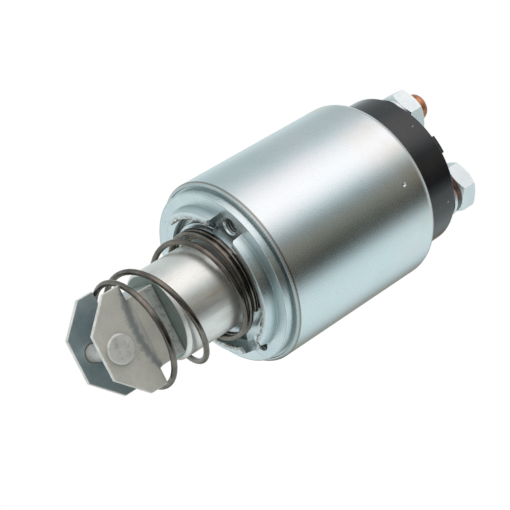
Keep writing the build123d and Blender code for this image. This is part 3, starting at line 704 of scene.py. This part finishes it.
# Each spot face is a slot from the boss to the bolt circle and a round end, both wider in front.
# The tapped hole stands in it, with a bevelled mouth.
slot_front = SLOT_FLOOR - 2 * SLOT_HALF_HEIGHT
slot_bevel = ring_front + SLOT_BEVEL
slot_half = SPOT_FACE_R - 0.05
for angle, bolt_place in zip(BOLT_ANGLES, bolt_places):
    slot = block(
        (SLOT_HALF_HEIGHT, (BOLT_CIRCLE_R - SPOT_SLOT_START) / 2, slot_half),
        (SLOT_FLOOR - SLOT_HALF_HEIGHT, (BOLT_CIRCLE_R + SPOT_SLOT_START) / 2, 0),
    )
    bpy.ops.object.mode_set(mode="EDIT")
    split_all((slot_bevel, 0, 0), (1, 0, 0))
    select_corners(slot, lambda place: place.x < slot_bevel - 1)
    widen = 1 + (slot_bevel - slot_front) / slot_half
    bpy.ops.transform.resize(value=(1, 1, widen), center_override=(slot_front, 0, 0))
    bpy.ops.object.mode_set(mode="OBJECT")
    combine(plate, put_at(slot, Matrix.Rotation(radians(angle), 4, "X")))
    spot = turned_piece(
        "spot",
        (
            (ring_front - 1, 1), (ring_front - 1, SPOT_FACE_R + SPOT_FACE_BEVEL + 1),
            (ring_front + SPOT_FACE_BEVEL, SPOT_FACE_R), (SPOT_FLOOR, SPOT_FACE_R, 0.3), (SPOT_FLOOR, 1),
        ),
        closed=False, facets=48,
    )
    combine(plate, put_at(spot, bolt_place))
    thread = threaded_rod("thread", BOLT_R, BOLT_ROOT_R, BOLT_PITCH, -0.6, BOLT_DEPTH)
    combine(plate, put_at(thread, bolt_place))
    mouth = turned_piece(
        "mouth",
        (
            (-BOLT_MOUTH, 1), (-BOLT_MOUTH, BOLT_ROOT_R + 2 * BOLT_MOUTH), (BOLT_MOUTH, BOLT_ROOT_R),
            (BOLT_MOUTH, 1),
        ),
        closed=False, facets=48,
    )
    combine(plate, put_at(mouth, bolt_place))
finish_piece(plate, plate_zinc)
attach(plate, "housing")
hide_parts("front_plate")

# Plunger: ground and plated iron bar with a flat tongue at its nose, which the two fork plates
# are welded to. The plunger is free to turn, and stands turned a little in the photograph.
FORK_TURN = 10.3
FORK_DROP = 0.5
TONGUE_LENGTH = 9.0
TONGUE_HALF_THICKNESS = 6.0
TONGUE_CORNER = 1.5
PLUNGER_BEVEL = 1.1
NECK_HALF = 12.0
low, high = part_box("plunger")
plunger_rear = high.x / MM
plunger_r = high.y / MM
plunger_front = low.x / MM + TONGUE_LENGTH
fork_place = Matrix.Rotation(radians(90 + FORK_TURN), 4, "X") @ Matrix.Translation((0, -FORK_DROP, 0))


def soften_edges(piece, width, angle=40.0, segments=3):
    """Small round on every edge that is sharper than the angle."""
    bpy.context.view_layer.objects.active = piece
    modifier = piece.modifiers.new("soften", "BEVEL")
    modifier.width = width
    modifier.segments = segments
    modifier.limit_method = "ANGLE"
    modifier.angle_limit = radians(angle)
    bpy.ops.object.modifier_apply(modifier="soften")
    return piece


def plunger_tones(tree, place, colour, rough):
    """Grey-green end and tongue, where the bar isn't ground, with painted shade on the end face, and brown
    streaks along the bar.
    """
    x = shader_node(tree, "SeparateXYZ", {"Vector": place}).outputs["X"]
    stretch = shader_node(tree, "Mapping", {"Vector": place, "Scale": (60.0, 420.0, 420.0)}).outputs[0]
    streak = rising_mask(tree, noise_value(tree, stretch, 1.0, 3.0), 0.52, 0.74)
    colour = blended(tree, times(tree, streak, 0.6), colour, (0.50, 0.44, 0.36, 1))
    # Painted shade: the front face is darker, as the fork plates shade it.
    face_shade_start = (plunger_front + 0.2) * MM
    face_shade = rising_mask(tree, x, face_shade_start, face_shade_start - 0.0002)
    colour = blended(tree, face_shade, colour, (0.30, 0.36, 0.33, 1))
    tongue_end = (plunger_front - 0.1) * MM
    on_tongue = rising_mask(tree, x, tongue_end, tongue_end - 0.0002)
    return blended(tree, on_tongue, colour, (0.44, 0.48, 0.45, 1)), rough


ground_steel = finish_material(
    "ground_steel", 0.8, 0.33, ((0.68, 0.68, 0.65), (0.81, 0.805, 0.77)), (80.0, 2300.0, 900.0, 0.27),
    roughness_spread=0.12, speck_tone=(0.30, 0.28, 0.24), speck_strength=0.4, turning=0.5, lines=3500.0,
    depth=0.000014, mottle=0.10, extra=plunger_tones,
)
plunger = turned_piece(
    "plunger_bar",
    (
        (plunger_front, 4), (plunger_front, plunger_r - PLUNGER_BEVEL, 0.3),
        (plunger_front + PLUNGER_BEVEL, plunger_r, 0.5), (plunger_rear, plunger_r, 0.6), (plunger_rear, 4),
    ),
    closed=False, facets=200,
)
tongue_half = (TONGUE_LENGTH + 1) / 2
tongue = block(
    (tongue_half, NECK_HALF, TONGUE_HALF_THICKNESS), (plunger_front - TONGUE_LENGTH + tongue_half, 0, 0)
)
for edge in tongue.data.edges:
    ends = [tongue.data.vertices[n].co for n in edge.vertices]
    edge.select = all(end.x < plunger_front - 1 for end in ends) and abs(ends[0].y - ends[1].y) > 1
for face in tongue.data.polygons:
    face.select = False
bpy.ops.object.mode_set(mode="EDIT")
bpy.ops.mesh.select_mode(type="EDGE")
bpy.ops.mesh.bevel(offset=TONGUE_CORNER, segments=5)
bpy.ops.object.mode_set(mode="OBJECT")
soften_edges(tongue, 0.3)
put_at(tongue, fork_place)
combine(plunger, tongue, "UNION")
finish_piece(plunger, ground_steel)
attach(plunger, "plunger")
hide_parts("plunger")

# Fork plates: two mirrored steel sheets with an octagonal head. Each is joggled outwards at its
# shoulders, so that the starter's lever fits between the heads, and tumbled until it is dull.
SHEET = 1.8
JOGGLE = 1.9
BEND_START = 0.9
BEND_LENGTH = 3.6
BEND_STATIONS = 8
HEAD_HALF = 17.2
HEAD_EDGE = 5.8
HEAD_LENGTH = 15.3
NOSE_HALF = 8.0
# Place and bow of the band of painted shade across the bend.
BEND_SHADE_OFFSET = 0.6
BEND_SHADE_BOW = 1.8
PIN_HOLE_R = 3.25
PIN_BEFORE_SHOULDER = 9.0
SCUFFED_STRIP = 4.0
shoulder_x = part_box("fork_plate_near")[0].x / MM + HEAD_LENGTH
head_front = shoulder_x - HEAD_LENGTH
neck_rear = plunger_front - 0.05
link_pin_x = shoulder_x - PIN_BEFORE_SHOULDER


def own_copy(piece, name):
    """Copy of a piece with its own mesh."""
    twin = piece.copy()
    twin.data = piece.data.copy()
    twin.name = name
    bpy.context.scene.collection.objects.link(twin)
    return twin


def sheet_tones(tree, place, colour, rough):
    """Painted shade in a dark blue-grey band across the bend, and a scuffed strip along its rear edge."""
    parts = shader_node(tree, "SeparateXYZ", {"Vector": place}).outputs
    across = times(tree, parts["Z"], 1 / (NECK_HALF * MM))
    across = times(tree, across, across)
    # Painted shade: a dark band across the bend, bowed towards the head in its middle.
    middle_x = (shoulder_x + BEND_SHADE_OFFSET - BEND_SHADE_BOW) * MM
    middle = math_node(tree, "MULTIPLY_ADD", across, BEND_SHADE_BOW * MM, middle_x)
    off = math_node(tree, "ABSOLUTE", math_node(tree, "SUBTRACT", parts["X"], middle))
    ragged = noise_value(tree, place, 520.0, 3.0, 0.65)
    off = math_node(tree, "MULTIPLY_ADD", ragged, 0.0030, off)
    bend_shade = times(tree, rising_mask(tree, off, 0.0036, 0.0020), 0.85)
    colour = blended(tree, bend_shade, colour, (0.18, 0.195, 0.20, 1))
    strip_start = (neck_rear - SCUFFED_STRIP) * MM
    strip = rising_mask(tree, parts["X"], strip_start, strip_start + 0.0008)
    strip = times(tree, strip, 0.75)
    scuff = rising_mask(tree, ragged, 0.50, 0.62)
    scuff = blended(tree, scuff, (0.42, 0.45, 0.43, 1), (0.22, 0.24, 0.24, 1))
    return blended(tree, strip, colour, scuff), rough


tumbled_sheet = finish_material(
    "tumbled_sheet", 0.45, 0.50, ((0.48, 0.47, 0.42), (0.60, 0.585, 0.52)), (110.0, 2400.0, 900.0, 0.28),
    roughness_spread=0.12, speck_tone=(0.24, 0.24, 0.23), speck_strength=0.4, mottle=0.12,
    edge_tone_and_highlight=(0.90, 0.89, 0.84), edge_width=0.0005, extra=sheet_tones,
)
# Inner faces of the sheets: a darker, bluer copy of the sheet's finish, which paints the shade that the two
# sheets cast on each other.
shaded_sheet_inside = finish_material(
    "shaded_sheet_inside", 0.8, 0.42, ((0.34, 0.42, 0.44), (0.50, 0.58, 0.60)), (140.0, 2400.0, 900.0, 0.28),
    roughness_spread=0.12, speck_tone=(0.16, 0.18, 0.19), speck_strength=0.4, mottle=0.14,
    edge_tone_and_highlight=(0.88, 0.87, 0.83), edge_width=0.0005,
)
# Rim faces of the sheets: bare sheared metal, made lighter also as a painted highlight on the sheets'
# edges.
sheared_edge_and_highlight = finish_material(
    "sheared_edge_and_highlight", 0.5, 0.45, ((0.58, 0.575, 0.54), (0.86, 0.855, 0.81)), (420.0, 2400.0, 900.0, 0.32),
    roughness_spread=0.12, speck_tone=(0.35, 0.35, 0.33), speck_strength=0.5, mottle=0.16,
)
bpy.ops.mesh.primitive_plane_add(size=2)
near = bpy.context.object
near.name = "fork_sheet_near"
near.scale = ((neck_rear - head_front) / 2, HEAD_HALF, 1)
near.location = ((neck_rear + head_front) / 2, 0, TONGUE_HALF_THICKNESS)
bpy.ops.object.transform_apply()
start_edit("VERT")
split_all((shoulder_x, 0, 0), (1, 0, 0))
for side in (-1, 1):
    split_all((0, NECK_HALF * side, 0), (0, 1, 0))
    slope = Vector((HEAD_EDGE - HEAD_LENGTH, NOSE_HALF - HEAD_HALF, 0))
    outward = Vector((slope.y, -slope.x * side, 0))
    split_all((shoulder_x - HEAD_EDGE, HEAD_HALF * side, 0), outward, clear=True)
select_corners(near, lambda place: place.x > shoulder_x + 0.1 and abs(place.y) > NECK_HALF + 0.1)
bpy.ops.mesh.delete(type="VERT")
bend_front = shoulder_x - BEND_START
stations = [bend_front + BEND_LENGTH * n / BEND_STATIONS for n in range(BEND_STATIONS + 1)]
for station in stations:
    split_all((station, 0, 0), (1, 0, 0))
previous = 0.0
for station in reversed(stations):
    share = (stations[-1] - station) / BEND_LENGTH
    rise = JOGGLE * share * share * (3 - 2 * share)
    select_corners(near, lambda place: place.x < station + 0.01)
    bpy.ops.transform.translate(value=(0, 0, rise - previous))
    previous = rise
end_edit()
thicken = near.modifiers.new("thicken", "SOLIDIFY")
thicken.thickness = SHEET
thicken.offset = 1.0 if near.data.polygons[0].normal.z > 0 else -1.0
bpy.ops.object.modifier_apply(modifier="thicken")
hole_place = Matrix.Translation((link_pin_x, 0, 0)) @ Matrix.Rotation(pi / 2, 4, "Y")
combine(near, put_at(rod("hole", -20, 20, PIN_HOLE_R, 48), hole_place))
soften_edges(near, 0.32, 50)
far = put_at(own_copy(near, "fork_sheet_far"), Matrix.Diagonal((1, 1, -1, 1)))
bpy.ops.object.mode_set(mode="EDIT")
end_edit()
for sheet, name, inward in ((near, "fork_plate_near", -1), (far, "fork_plate_far", 1)):
    inner_faces = [face.index for face in sheet.data.polygons if face.normal.z * inward > 0.75]
    rim_faces = [face.index for face in sheet.data.polygons if abs(face.normal.z) < 0.5]
    put_at(sheet, fork_place)
    finish_piece(sheet, tumbled_sheet)
    sheet.data.materials.append(shaded_sheet_inside)
    sheet.data.materials.append(sheared_edge_and_highlight)
    for number in inner_faces:
        sheet.data.polygons[number].material_index = 1
    for number in rim_faces:
        sheet.data.polygons[number].material_index = 2
    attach(sheet, "plunger")
    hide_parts(name)

# Link pin: steel rivet pin through both heads, which the starter's fork lever pulls. Its shank is
# plain and its two heads are upset flat with a rounded rim.
PIN_R = 3.0
PIN_HEAD_R = 4.9
PIN_HEAD = 1.6
PIN_HEAD_SINK = 0.02
head_outer = TONGUE_HALF_THICKNESS + JOGGLE + SHEET
head_inner = head_outer - PIN_HEAD_SINK
plated_pin = finish_material(
    "plated_pin", 0.5, 0.45, ((0.40, 0.40, 0.38), (0.58, 0.575, 0.54), (0.64, 0.635, 0.60)),
    (330.0, 2400.0, 900.0, 0.28), roughness_spread=0.14, speck_tone=(0.2, 0.2, 0.19), speck_strength=0.4,
    mottle=0.10,
)
pin = turned_piece(
    "rivet_pin",
    (
        (-head_outer - PIN_HEAD, 1), (-head_outer - PIN_HEAD, PIN_HEAD_R, 0.7),
        (-head_inner, PIN_HEAD_R, 0.2), (-head_inner, PIN_R), (head_inner, PIN_R),
        (head_inner, PIN_HEAD_R, 0.2), (head_outer + PIN_HEAD, PIN_HEAD_R, 0.7), (head_outer + PIN_HEAD, 1),
    ),
    closed=False, facets=80,
)
put_at(pin, fork_place @ hole_place)
finish_piece(pin, plated_pin)
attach(pin, "plunger")
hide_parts("link_pin")

# Return spring: oil-hardened wire, wound with closed turns at both ends and open turns between.
# It stands on the boss and pushes the shoulders of the fork plates away from the solenoid.
SPRING_WIRE_R = 1.0
SPRING_R = 18.8
SPRING_TURNS = 4.7
SPRING_OPENS = 0.80
SPRING_CLOSES = 2.83
SPRING_START_ANGLE = -21.8
SPRING_SAG = 1.0
CLOSED_PITCH = 2.05
REST_GAP = 0.1


def wire_coil(name, radius, wire_r, turns, start_angle, place_at, steps=48, sides=16):
    """Round wire wound step by step; place_at gives the coil centre's X and Z after a number of turns."""
    before, height = place_at(0)
    bpy.ops.mesh.primitive_circle_add(
        vertices=sides, radius=wire_r, location=(before, radius, height), fill_type="NGON"
    )
    coil = bpy.context.object
    coil.name = name
    bpy.ops.object.transform_apply()
    start_edit()
    bpy.ops.transform.rotate(value=-radians(start_angle), orient_axis="X", center_override=(0, 0, height))
    count = round(turns * steps)
    for step in range(1, count + 1):
        x, z = place_at(turns * step / count)
        bpy.ops.mesh.extrude_edges_move(TRANSFORM_OT_translate={"value": (x - before, 0, z - height)})
        bpy.ops.transform.rotate(value=-2 * pi * turns / count, orient_axis="X", center_override=(0, 0, z))
        before, height = x, z
    bpy.ops.mesh.edge_face_add()
    end_edit()
    return soften_edges(coil, wire_r / 6, 60, 2)


spring_front = shoulder_x + SPRING_WIRE_R + REST_GAP
spring_rear = -BOSS_HEIGHT - SPRING_WIRE_R - REST_GAP
spring_opening = spring_rear - spring_front - CLOSED_PITCH * SPRING_TURNS


def spring_place(turns):
    """Closed turns at both ends and open ones between, with the front end sagging."""
    share = min(max((turns - SPRING_OPENS) / (SPRING_CLOSES - SPRING_OPENS), 0), 1)
    x = spring_front + CLOSED_PITCH * turns + spring_opening * share * share * (3 - 2 * share)
    return x, -SPRING_SAG * (spring_rear - x) / (spring_rear - spring_front)


spring_wire = finish_material(
    "spring_wire", 1.0, 0.08, ((0.085, 0.075, 0.066), (0.215, 0.192, 0.166)), (160.0, 2000.0, 900.0, 0.28),
    roughness_spread=0.05, speck_tone=(0.35, 0.32, 0.28), speck_strength=0.25, depth=0.000008,
)
spring = wire_coil("return_coil", SPRING_R, SPRING_WIRE_R, SPRING_TURNS, SPRING_START_ANGLE, spring_place)
finish_piece(spring, spring_wire, 40)
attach(spring, "housing")
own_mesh(spring)
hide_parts("return_spring")

# Terminal cap: glossy black phenolic moulding. Its flange is clamped by the can's rolled edge on a
# rubber gasket, and a small pad stands on its rear rim between the studs.
low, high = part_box("terminal_cap")
cap_front = low.x / MM
PAD_HEIGHT = 1.0
PAD_WIDTH = 5.5
PAD_INSET = 0.45
PAD_ROOT = 0.6
PAD_HALF_ANGLE = 7.0
cap_rear = high.x / MM - PAD_HEIGHT
flange_r = high.y / MM
CAP_FLANGE = 4.8
CAP_R = 28.1
CAP_TAPER = 0.1
CAP_INNER_R = 25.5
CAP_FLOOR = 5.0
POCKET_R = 7.4
POCKET_DEPTH = 2.2
STUD_R = 5.0
STUD_HOLE_R = 5.05
SEAL_HOLE_R = 6.65
SEAL_HOLE_DEPTH = 1.0
STUD_CIRCLE_R = 20.0
STUD_ANGLES = {"battery": 130.0, "motor": 230.0}
cap_floor = cap_rear - CAP_FLOOR
stud_places = {
    name: Matrix.Translation((0, *on_circle(STUD_CIRCLE_R, angle))) for name, angle in STUD_ANGLES.items()
}
moulded_black = finish_material(
    "moulded_black", 0.0, 0.09, ((0.008, 0.008, 0.009), (0.013, 0.013, 0.014)), (70.0, 1600.0, 560.0, 0.27),
    roughness_spread=0.06, speck_tone=(0.32, 0.32, 0.31), depth=0.000006,
)
cap = turned_piece(
    "moulded_cap",
    (
        (cap_rear, 3), (cap_rear, CAP_R, 0.9), (can_rear - CAN_WALL / 2, CAP_R + CAP_TAPER),
        (cap_front + CAP_FLANGE, CAP_R + CAP_TAPER),
        (cap_front + CAP_FLANGE, flange_r, 0.2), (cap_front, flange_r, 0.2), (cap_front, CAP_INNER_R, 0.2),
        (cap_floor, CAP_INNER_R, 0.6), (cap_floor, POCKET_R, 0.2), (cap_floor + POCKET_DEPTH, POCKET_R),
        (cap_floor + POCKET_DEPTH, 3),
    ),
    closed=False, facets=240,
)
pad_outer = CAP_R - PAD_INSET
pad = turned_piece(
    "pad",
    (
        (cap_rear - PAD_ROOT, pad_outer - PAD_WIDTH), (cap_rear - PAD_ROOT, pad_outer),
        (cap_rear + PAD_HEIGHT, pad_outer, 0.3), (cap_rear + PAD_HEIGHT, pad_outer - PAD_WIDTH, 0.3),
    ),
    facets=240,
)
bpy.ops.object.mode_set(mode="EDIT")
for side in (-1, 1):
    angle = radians(180 + PAD_HALF_ANGLE * side)
    across = (0, -sin(angle) * side, cos(angle) * side)
    split_all((0, 0, 0), across, clear=True, fill=True)
end_edit()
soften_edges(pad, 0.3)
combine(cap, pad, "UNION")
for stud_place in stud_places.values():
    bore = turned_piece(
        "bore",
        (
            (cap_floor - 1, 1), (cap_floor - 1, SEAL_HOLE_R), (cap_floor + SEAL_HOLE_DEPTH, SEAL_HOLE_R),
            (cap_floor + SEAL_HOLE_DEPTH, STUD_HOLE_R), (cap_rear + 2, STUD_HOLE_R), (cap_rear + 2, 1),
        ),
        closed=False, facets=64,
    )
    combine(cap, put_at(bore, stud_place))
finish_piece(cap, moulded_black)
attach(cap, "housing")
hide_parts("terminal_cap")

# Rubber parts: the gasket under the cap's flange, the rings round the studs and the bushes round
# the leads. All are hidden once the cap is on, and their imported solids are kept.
black_rubber = finish_material(
    "black_rubber", 0.0, 0.62, ((0.018, 0.018, 0.018), (0.032, 0.031, 0.030)), (160.0, 1800.0, 800.0, 0.3),
    depth=0.00004,
)
give_finish(["cap_gasket", "stud_seals", "lead_grommets"], black_rubber)

# Terminal studs: copper bolts with a flat-sided contact head inside the cap, an M10 thread outside
# and a rounded plain end. They are bare, and browned in clouds.
low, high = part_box("battery_stud")
stud_end = high.x / MM
STUD_HEAD = 3.5
STUD_HEAD_WIDTH = 14.0
STUD_HEAD_INNER_R = 11.0
STUD_HEAD_REACH = 12
STUD_END_ROUND = 2.4
THREAD_PITCH = 1.5
THREAD_START = 0.35
THREAD_ROOT_R = 4.15
THREAD_END = 5.0


def join_pieces(piece, other):
    """Makes two meshes one piece, without cutting them into each other."""
    bpy.ops.object.select_all(action="DESELECT")
    other.select_set(True)
    piece.select_set(True)
    bpy.context.view_layer.objects.active = piece
    bpy.ops.object.join()


def copper_tones(tree, place, colour, rough):
    """Brown tarnish in clouds."""
    tarnish = rising_mask(tree, noise_value(tree, place, 240.0), 0.45, 0.75)
    return blended(tree, tarnish, colour, (0.22, 0.095, 0.05, 1)), rough


bare_copper = finish_material(
    "bare_copper", 1.0, 0.38, ((0.52, 0.21, 0.11), (0.68, 0.30, 0.16)), (200.0, 1800.0, 700.0, 0.3),
    roughness_spread=0.12, speck_tone=(0.20, 0.10, 0.06), speck_strength=0.4, turning=0.4,
    extra=copper_tones,
)
for name, angle in STUD_ANGLES.items():
    thread_end = stud_end - THREAD_END
    stud = turned_piece(
        "copper_stud_" + name,
        (
            (cap_floor, 2), (cap_floor, STUD_R), (cap_rear + 0.3, STUD_R, 0.15),
            (cap_rear + 0.3, THREAD_ROOT_R), (thread_end, THREAD_ROOT_R),
            (thread_end + 0.5, STUD_R - 0.1, 0.2), (stud_end, STUD_R - 0.1, STUD_END_ROUND), (stud_end, 2),
        ),
        closed=False, facets=72, steps=8,
    )
    thread = threaded_rod(
        "thread", STUD_R, THREAD_ROOT_R, THREAD_PITCH, cap_rear + THREAD_START, thread_end + 0.3
    )
    join_pieces(stud, thread)
    put_at(stud, stud_places[name])
    head = block(
        (STUD_HEAD / 2, STUD_HEAD_REACH, STUD_HEAD_WIDTH / 2),
        (cap_floor - STUD_HEAD / 2, STUD_HEAD_INNER_R + STUD_HEAD_REACH, 0),
    )
    put_at(head, Matrix.Rotation(radians(angle), 4, "X"))
    combine(head, rod("envelope", cap_floor - 9, cap_floor + 9, CAP_INNER_R - 0.1), "INTERSECT")
    soften_edges(head, 0.4)
    join_pieces(stud, head)
    finish_piece(stud, bare_copper)
    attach(stud, "housing")
    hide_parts(name + "_stud")

# Washers and hexagon nuts of the two studs, steel with pale zinc plate. The battery nut is run
# down on its washer, and the motor nut is left a little way off, as photographed.
WASHER_R = 8.3
WASHER_THICKNESS = 1.5
NUT_ACROSS_FLATS = 16.0
NUT_HEIGHT = 6.8
NUT_FACE_INSET = 0.2
MOTOR_NUT_LIFT = 2.6
NUT_TURNS = {"battery": 6.4, "motor": 15.6}
NUT_HOLE_R = 5.06
NUT_HOLE_BEVEL = 0.8
pale_zinc = finish_material(
    "pale_zinc", 0.9, 0.34, ((0.61, 0.66, 0.67), (0.72, 0.76, 0.765)), (120.0, 2300.0, 800.0, 0.25),
    speck_tone=(0.35, 0.35, 0.34), speck_strength=0.3, turning=0.3, depth=0.000015, mottle=0.08,
    edge_tone_and_highlight=(0.86, 0.88, 0.88), edge_width=0.0003,
)
washer = turned_piece(
    "flat_washer",
    (
        (cap_rear, NUT_HOLE_R, 0.15), (cap_rear, WASHER_R, 0.3),
        (cap_rear + WASHER_THICKNESS, WASHER_R, 0.5), (cap_rear + WASHER_THICKNESS, NUT_HOLE_R, 0.15),
    ),
    facets=96,
)
nut_flat = NUT_ACROSS_FLATS / 2
nut_corner = nut_flat / cos(radians(30))
rise = (nut_corner - nut_flat + NUT_FACE_INSET) * tan(radians(30))
nut_outside = nut_corner * 2 - nut_flat + NUT_FACE_INSET
nut = turned_piece(
    "hexagon_nut",
    (
        (0, 1), (0, nut_flat - NUT_FACE_INSET, 0.3), (rise * 2, nut_outside),
        (NUT_HEIGHT - rise * 2, nut_outside), (NUT_HEIGHT, nut_flat - NUT_FACE_INSET, 0.3), (NUT_HEIGHT, 1),
    ),
    closed=False, facets=96,
)
bpy.ops.mesh.primitive_cylinder_add(
    vertices=6, radius=nut_corner, depth=NUT_HEIGHT + 2, location=(NUT_HEIGHT / 2, 0, 0),
    rotation=(0, pi / 2, 0),
)
hexagon = bpy.context.object
bpy.ops.object.transform_apply()
combine(nut, hexagon, "INTERSECT")
bore = turned_piece(
    "bore",
    (
        (-1, 1), (-1, STUD_R + 1.2), (NUT_HOLE_BEVEL, NUT_HOLE_R),
        (NUT_HEIGHT - NUT_HOLE_BEVEL, NUT_HOLE_R), (NUT_HEIGHT + 1, STUD_R + 1.2), (NUT_HEIGHT + 1, 1),
    ),
    closed=False, facets=96,
)
combine(nut, bore)
soften_edges(nut, 0.3, 25)
for name, stud_place in stud_places.items():
    ring = put_at(own_copy(washer, "flat_washer_" + name), stud_place)
    hexagon = own_copy(nut, "hexagon_nut_" + name)
    lift = MOTOR_NUT_LIFT if name == "motor" else 0
    nut_place = stud_place @ Matrix.Translation((cap_rear + WASHER_THICKNESS + lift, 0, 0))
    put_at(hexagon, nut_place @ Matrix.Rotation(radians(NUT_TURNS[name]), 4, "X"))
    for piece, node_name in ((ring, "terminal_washers"), (hexagon, "terminal_nuts")):
        finish_piece(piece, pale_zinc)
        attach(piece, "housing")
        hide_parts(node_name)
bpy.data.objects.remove(washer)
bpy.data.objects.remove(nut)

# Control terminal: a tinned brass push-on blade, bent up from a foot that a hollow rivet holds on
# the cap, on the side that the photograph hides.
BLADE_Y = 20.3
BLADE_WIDTH = 6.3
BLADE_THICKNESS = 0.8
BLADE_FOOT = 9.0
BLADE_LENGTH = 8.5
BLADE_TIP = 1.2
BLADE_TIP_SHARE = (1, 0.6, 0.62)
CATCH_R = 0.85
CATCH_HEIGHT = 5.2
EYE_R = 1.65
tinned_brass = finish_material(
    "tinned_brass", 1.0, 0.32, ((0.60, 0.57, 0.48), (0.72, 0.70, 0.62)), (200.0, 2000.0, 700.0, 0.28),
    speck_tone=(0.4, 0.33, 0.2), speck_strength=0.4, depth=0.00001,
)
blade = block(
    (BLADE_THICKNESS / 2, BLADE_FOOT / 2, BLADE_WIDTH / 2), (cap_rear + BLADE_THICKNESS / 2, BLADE_Y, 0)
)
blade.name = "push_on_blade"
start_edit("FACE")
inner_edge = BLADE_Y - BLADE_FOOT / 2
split_all((0, inner_edge + BLADE_THICKNESS, 0), (0, 1, 0))
bpy.ops.object.mode_set(mode="OBJECT")
for face in blade.data.polygons:
    face.select = face.normal.x > 0.9 and face.center.y < inner_edge + BLADE_THICKNESS
for edge in blade.data.edges:
    edge.select = False
for corner in blade.data.vertices:
    corner.select = False
bpy.ops.object.mode_set(mode="EDIT")
straight = BLADE_LENGTH - BLADE_THICKNESS - BLADE_TIP
for length in (straight, BLADE_TIP):
    bpy.ops.mesh.extrude_region_move(TRANSFORM_OT_translate={"value": (length, 0, 0)})
bpy.ops.transform.resize(value=BLADE_TIP_SHARE, center_override=(0, inner_edge + BLADE_THICKNESS / 2, 0))
bpy.ops.object.mode_set(mode="OBJECT")
catch_place = Matrix.Translation((cap_rear + CATCH_HEIGHT, inner_edge, 0)) @ Matrix.Rotation(pi / 2, 4, "Z")
combine(blade, put_at(rod("catch", -3, 3, CATCH_R, 32, 0.3), catch_place))
eye = rod("eye", cap_rear - 1, cap_rear + 3, EYE_R, 40, 0.3)
combine(blade, put_at(eye, Matrix.Translation((0, BLADE_Y, 0))))
soften_edges(blade, 0.1)
finish_piece(blade, tinned_brass)
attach(blade, "housing")
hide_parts("control_terminal")

# Rivet of the control terminal: turned from the same tinned brass, with a flat head inside the cap
# and a hollow end that is rolled out over the blade's foot.
RIVET_R = 1.6
RIVET_HEAD_R = 3.9
RIVET_ROLL_R = 2.6
RIVET_HOLE_R = 1.1
rivet_out = cap_rear + BLADE_THICKNESS
rivet = turned_piece(
    "control_rivet_body",
    (
        (cap_floor - 1.0, 0.6), (cap_floor - 1.0, RIVET_HEAD_R, 0.2), (cap_floor, RIVET_HEAD_R, 0.2),
        (cap_floor, RIVET_R), (rivet_out, RIVET_R), (rivet_out, RIVET_ROLL_R, 0.2),
        (rivet_out + 1.0, RIVET_ROLL_R, 0.7), (rivet_out + 1.0, RIVET_HOLE_R, 0.15), (rivet_out + 0.2, 0.9),
        (rivet_out + 0.2, 0.6),
    ),
    closed=False, facets=48,
)
put_at(rivet, Matrix.Translation((0, BLADE_Y, 0)))
finish_piece(rivet, tinned_brass)
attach(rivet, "housing")
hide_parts("control_rivet")

# Contact carrier inside the cap: steel push rod and clip, moulded bush and insulating washer, copper
# bridge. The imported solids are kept, and its two small springs are wound again from round wire.
bright_steel = finish_material(
    "bright_steel", 1.0, 0.28, ((0.50, 0.50, 0.50), (0.62, 0.62, 0.61)), (160.0, 2200.0, 800.0, 0.28),
    turning=0.6, depth=0.00001,
)
brown_phenolic = finish_material(
    "brown_phenolic", 0.0, 0.42, ((0.16, 0.085, 0.045), (0.26, 0.14, 0.08)), (180.0, 1600.0, 700.0, 0.33),
    depth=0.00003,
)
give_finish(["push_rod", "rod_clip"], bright_steel)
give_finish(["bridge_bush", "bridge_insulator"], brown_phenolic)
give_finish(["contact_bridge"], bare_copper)
for name, node_name, radius, wire_r, turns in (
    ("contact_coil", "contact_spring", 4.6, 0.55, 4.0),
    ("kick_back_coil", "kick_back_spring", 6.3, 0.4, 4.5),
):
    low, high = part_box(node_name)
    first = low.x / MM + wire_r
    last = high.x / MM - wire_r
    pitch = (last - first) / turns
    coil = wire_coil(name, radius, wire_r, turns, 0, lambda n: (first + pitch * n, 0), steps=32, sides=12)
    finish_piece(coil, bright_steel, 40)
    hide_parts(node_name)
    if node_name == "contact_spring":
        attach(coil, "contact")
    else:
        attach(coil, "housing")
        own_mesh(coil)
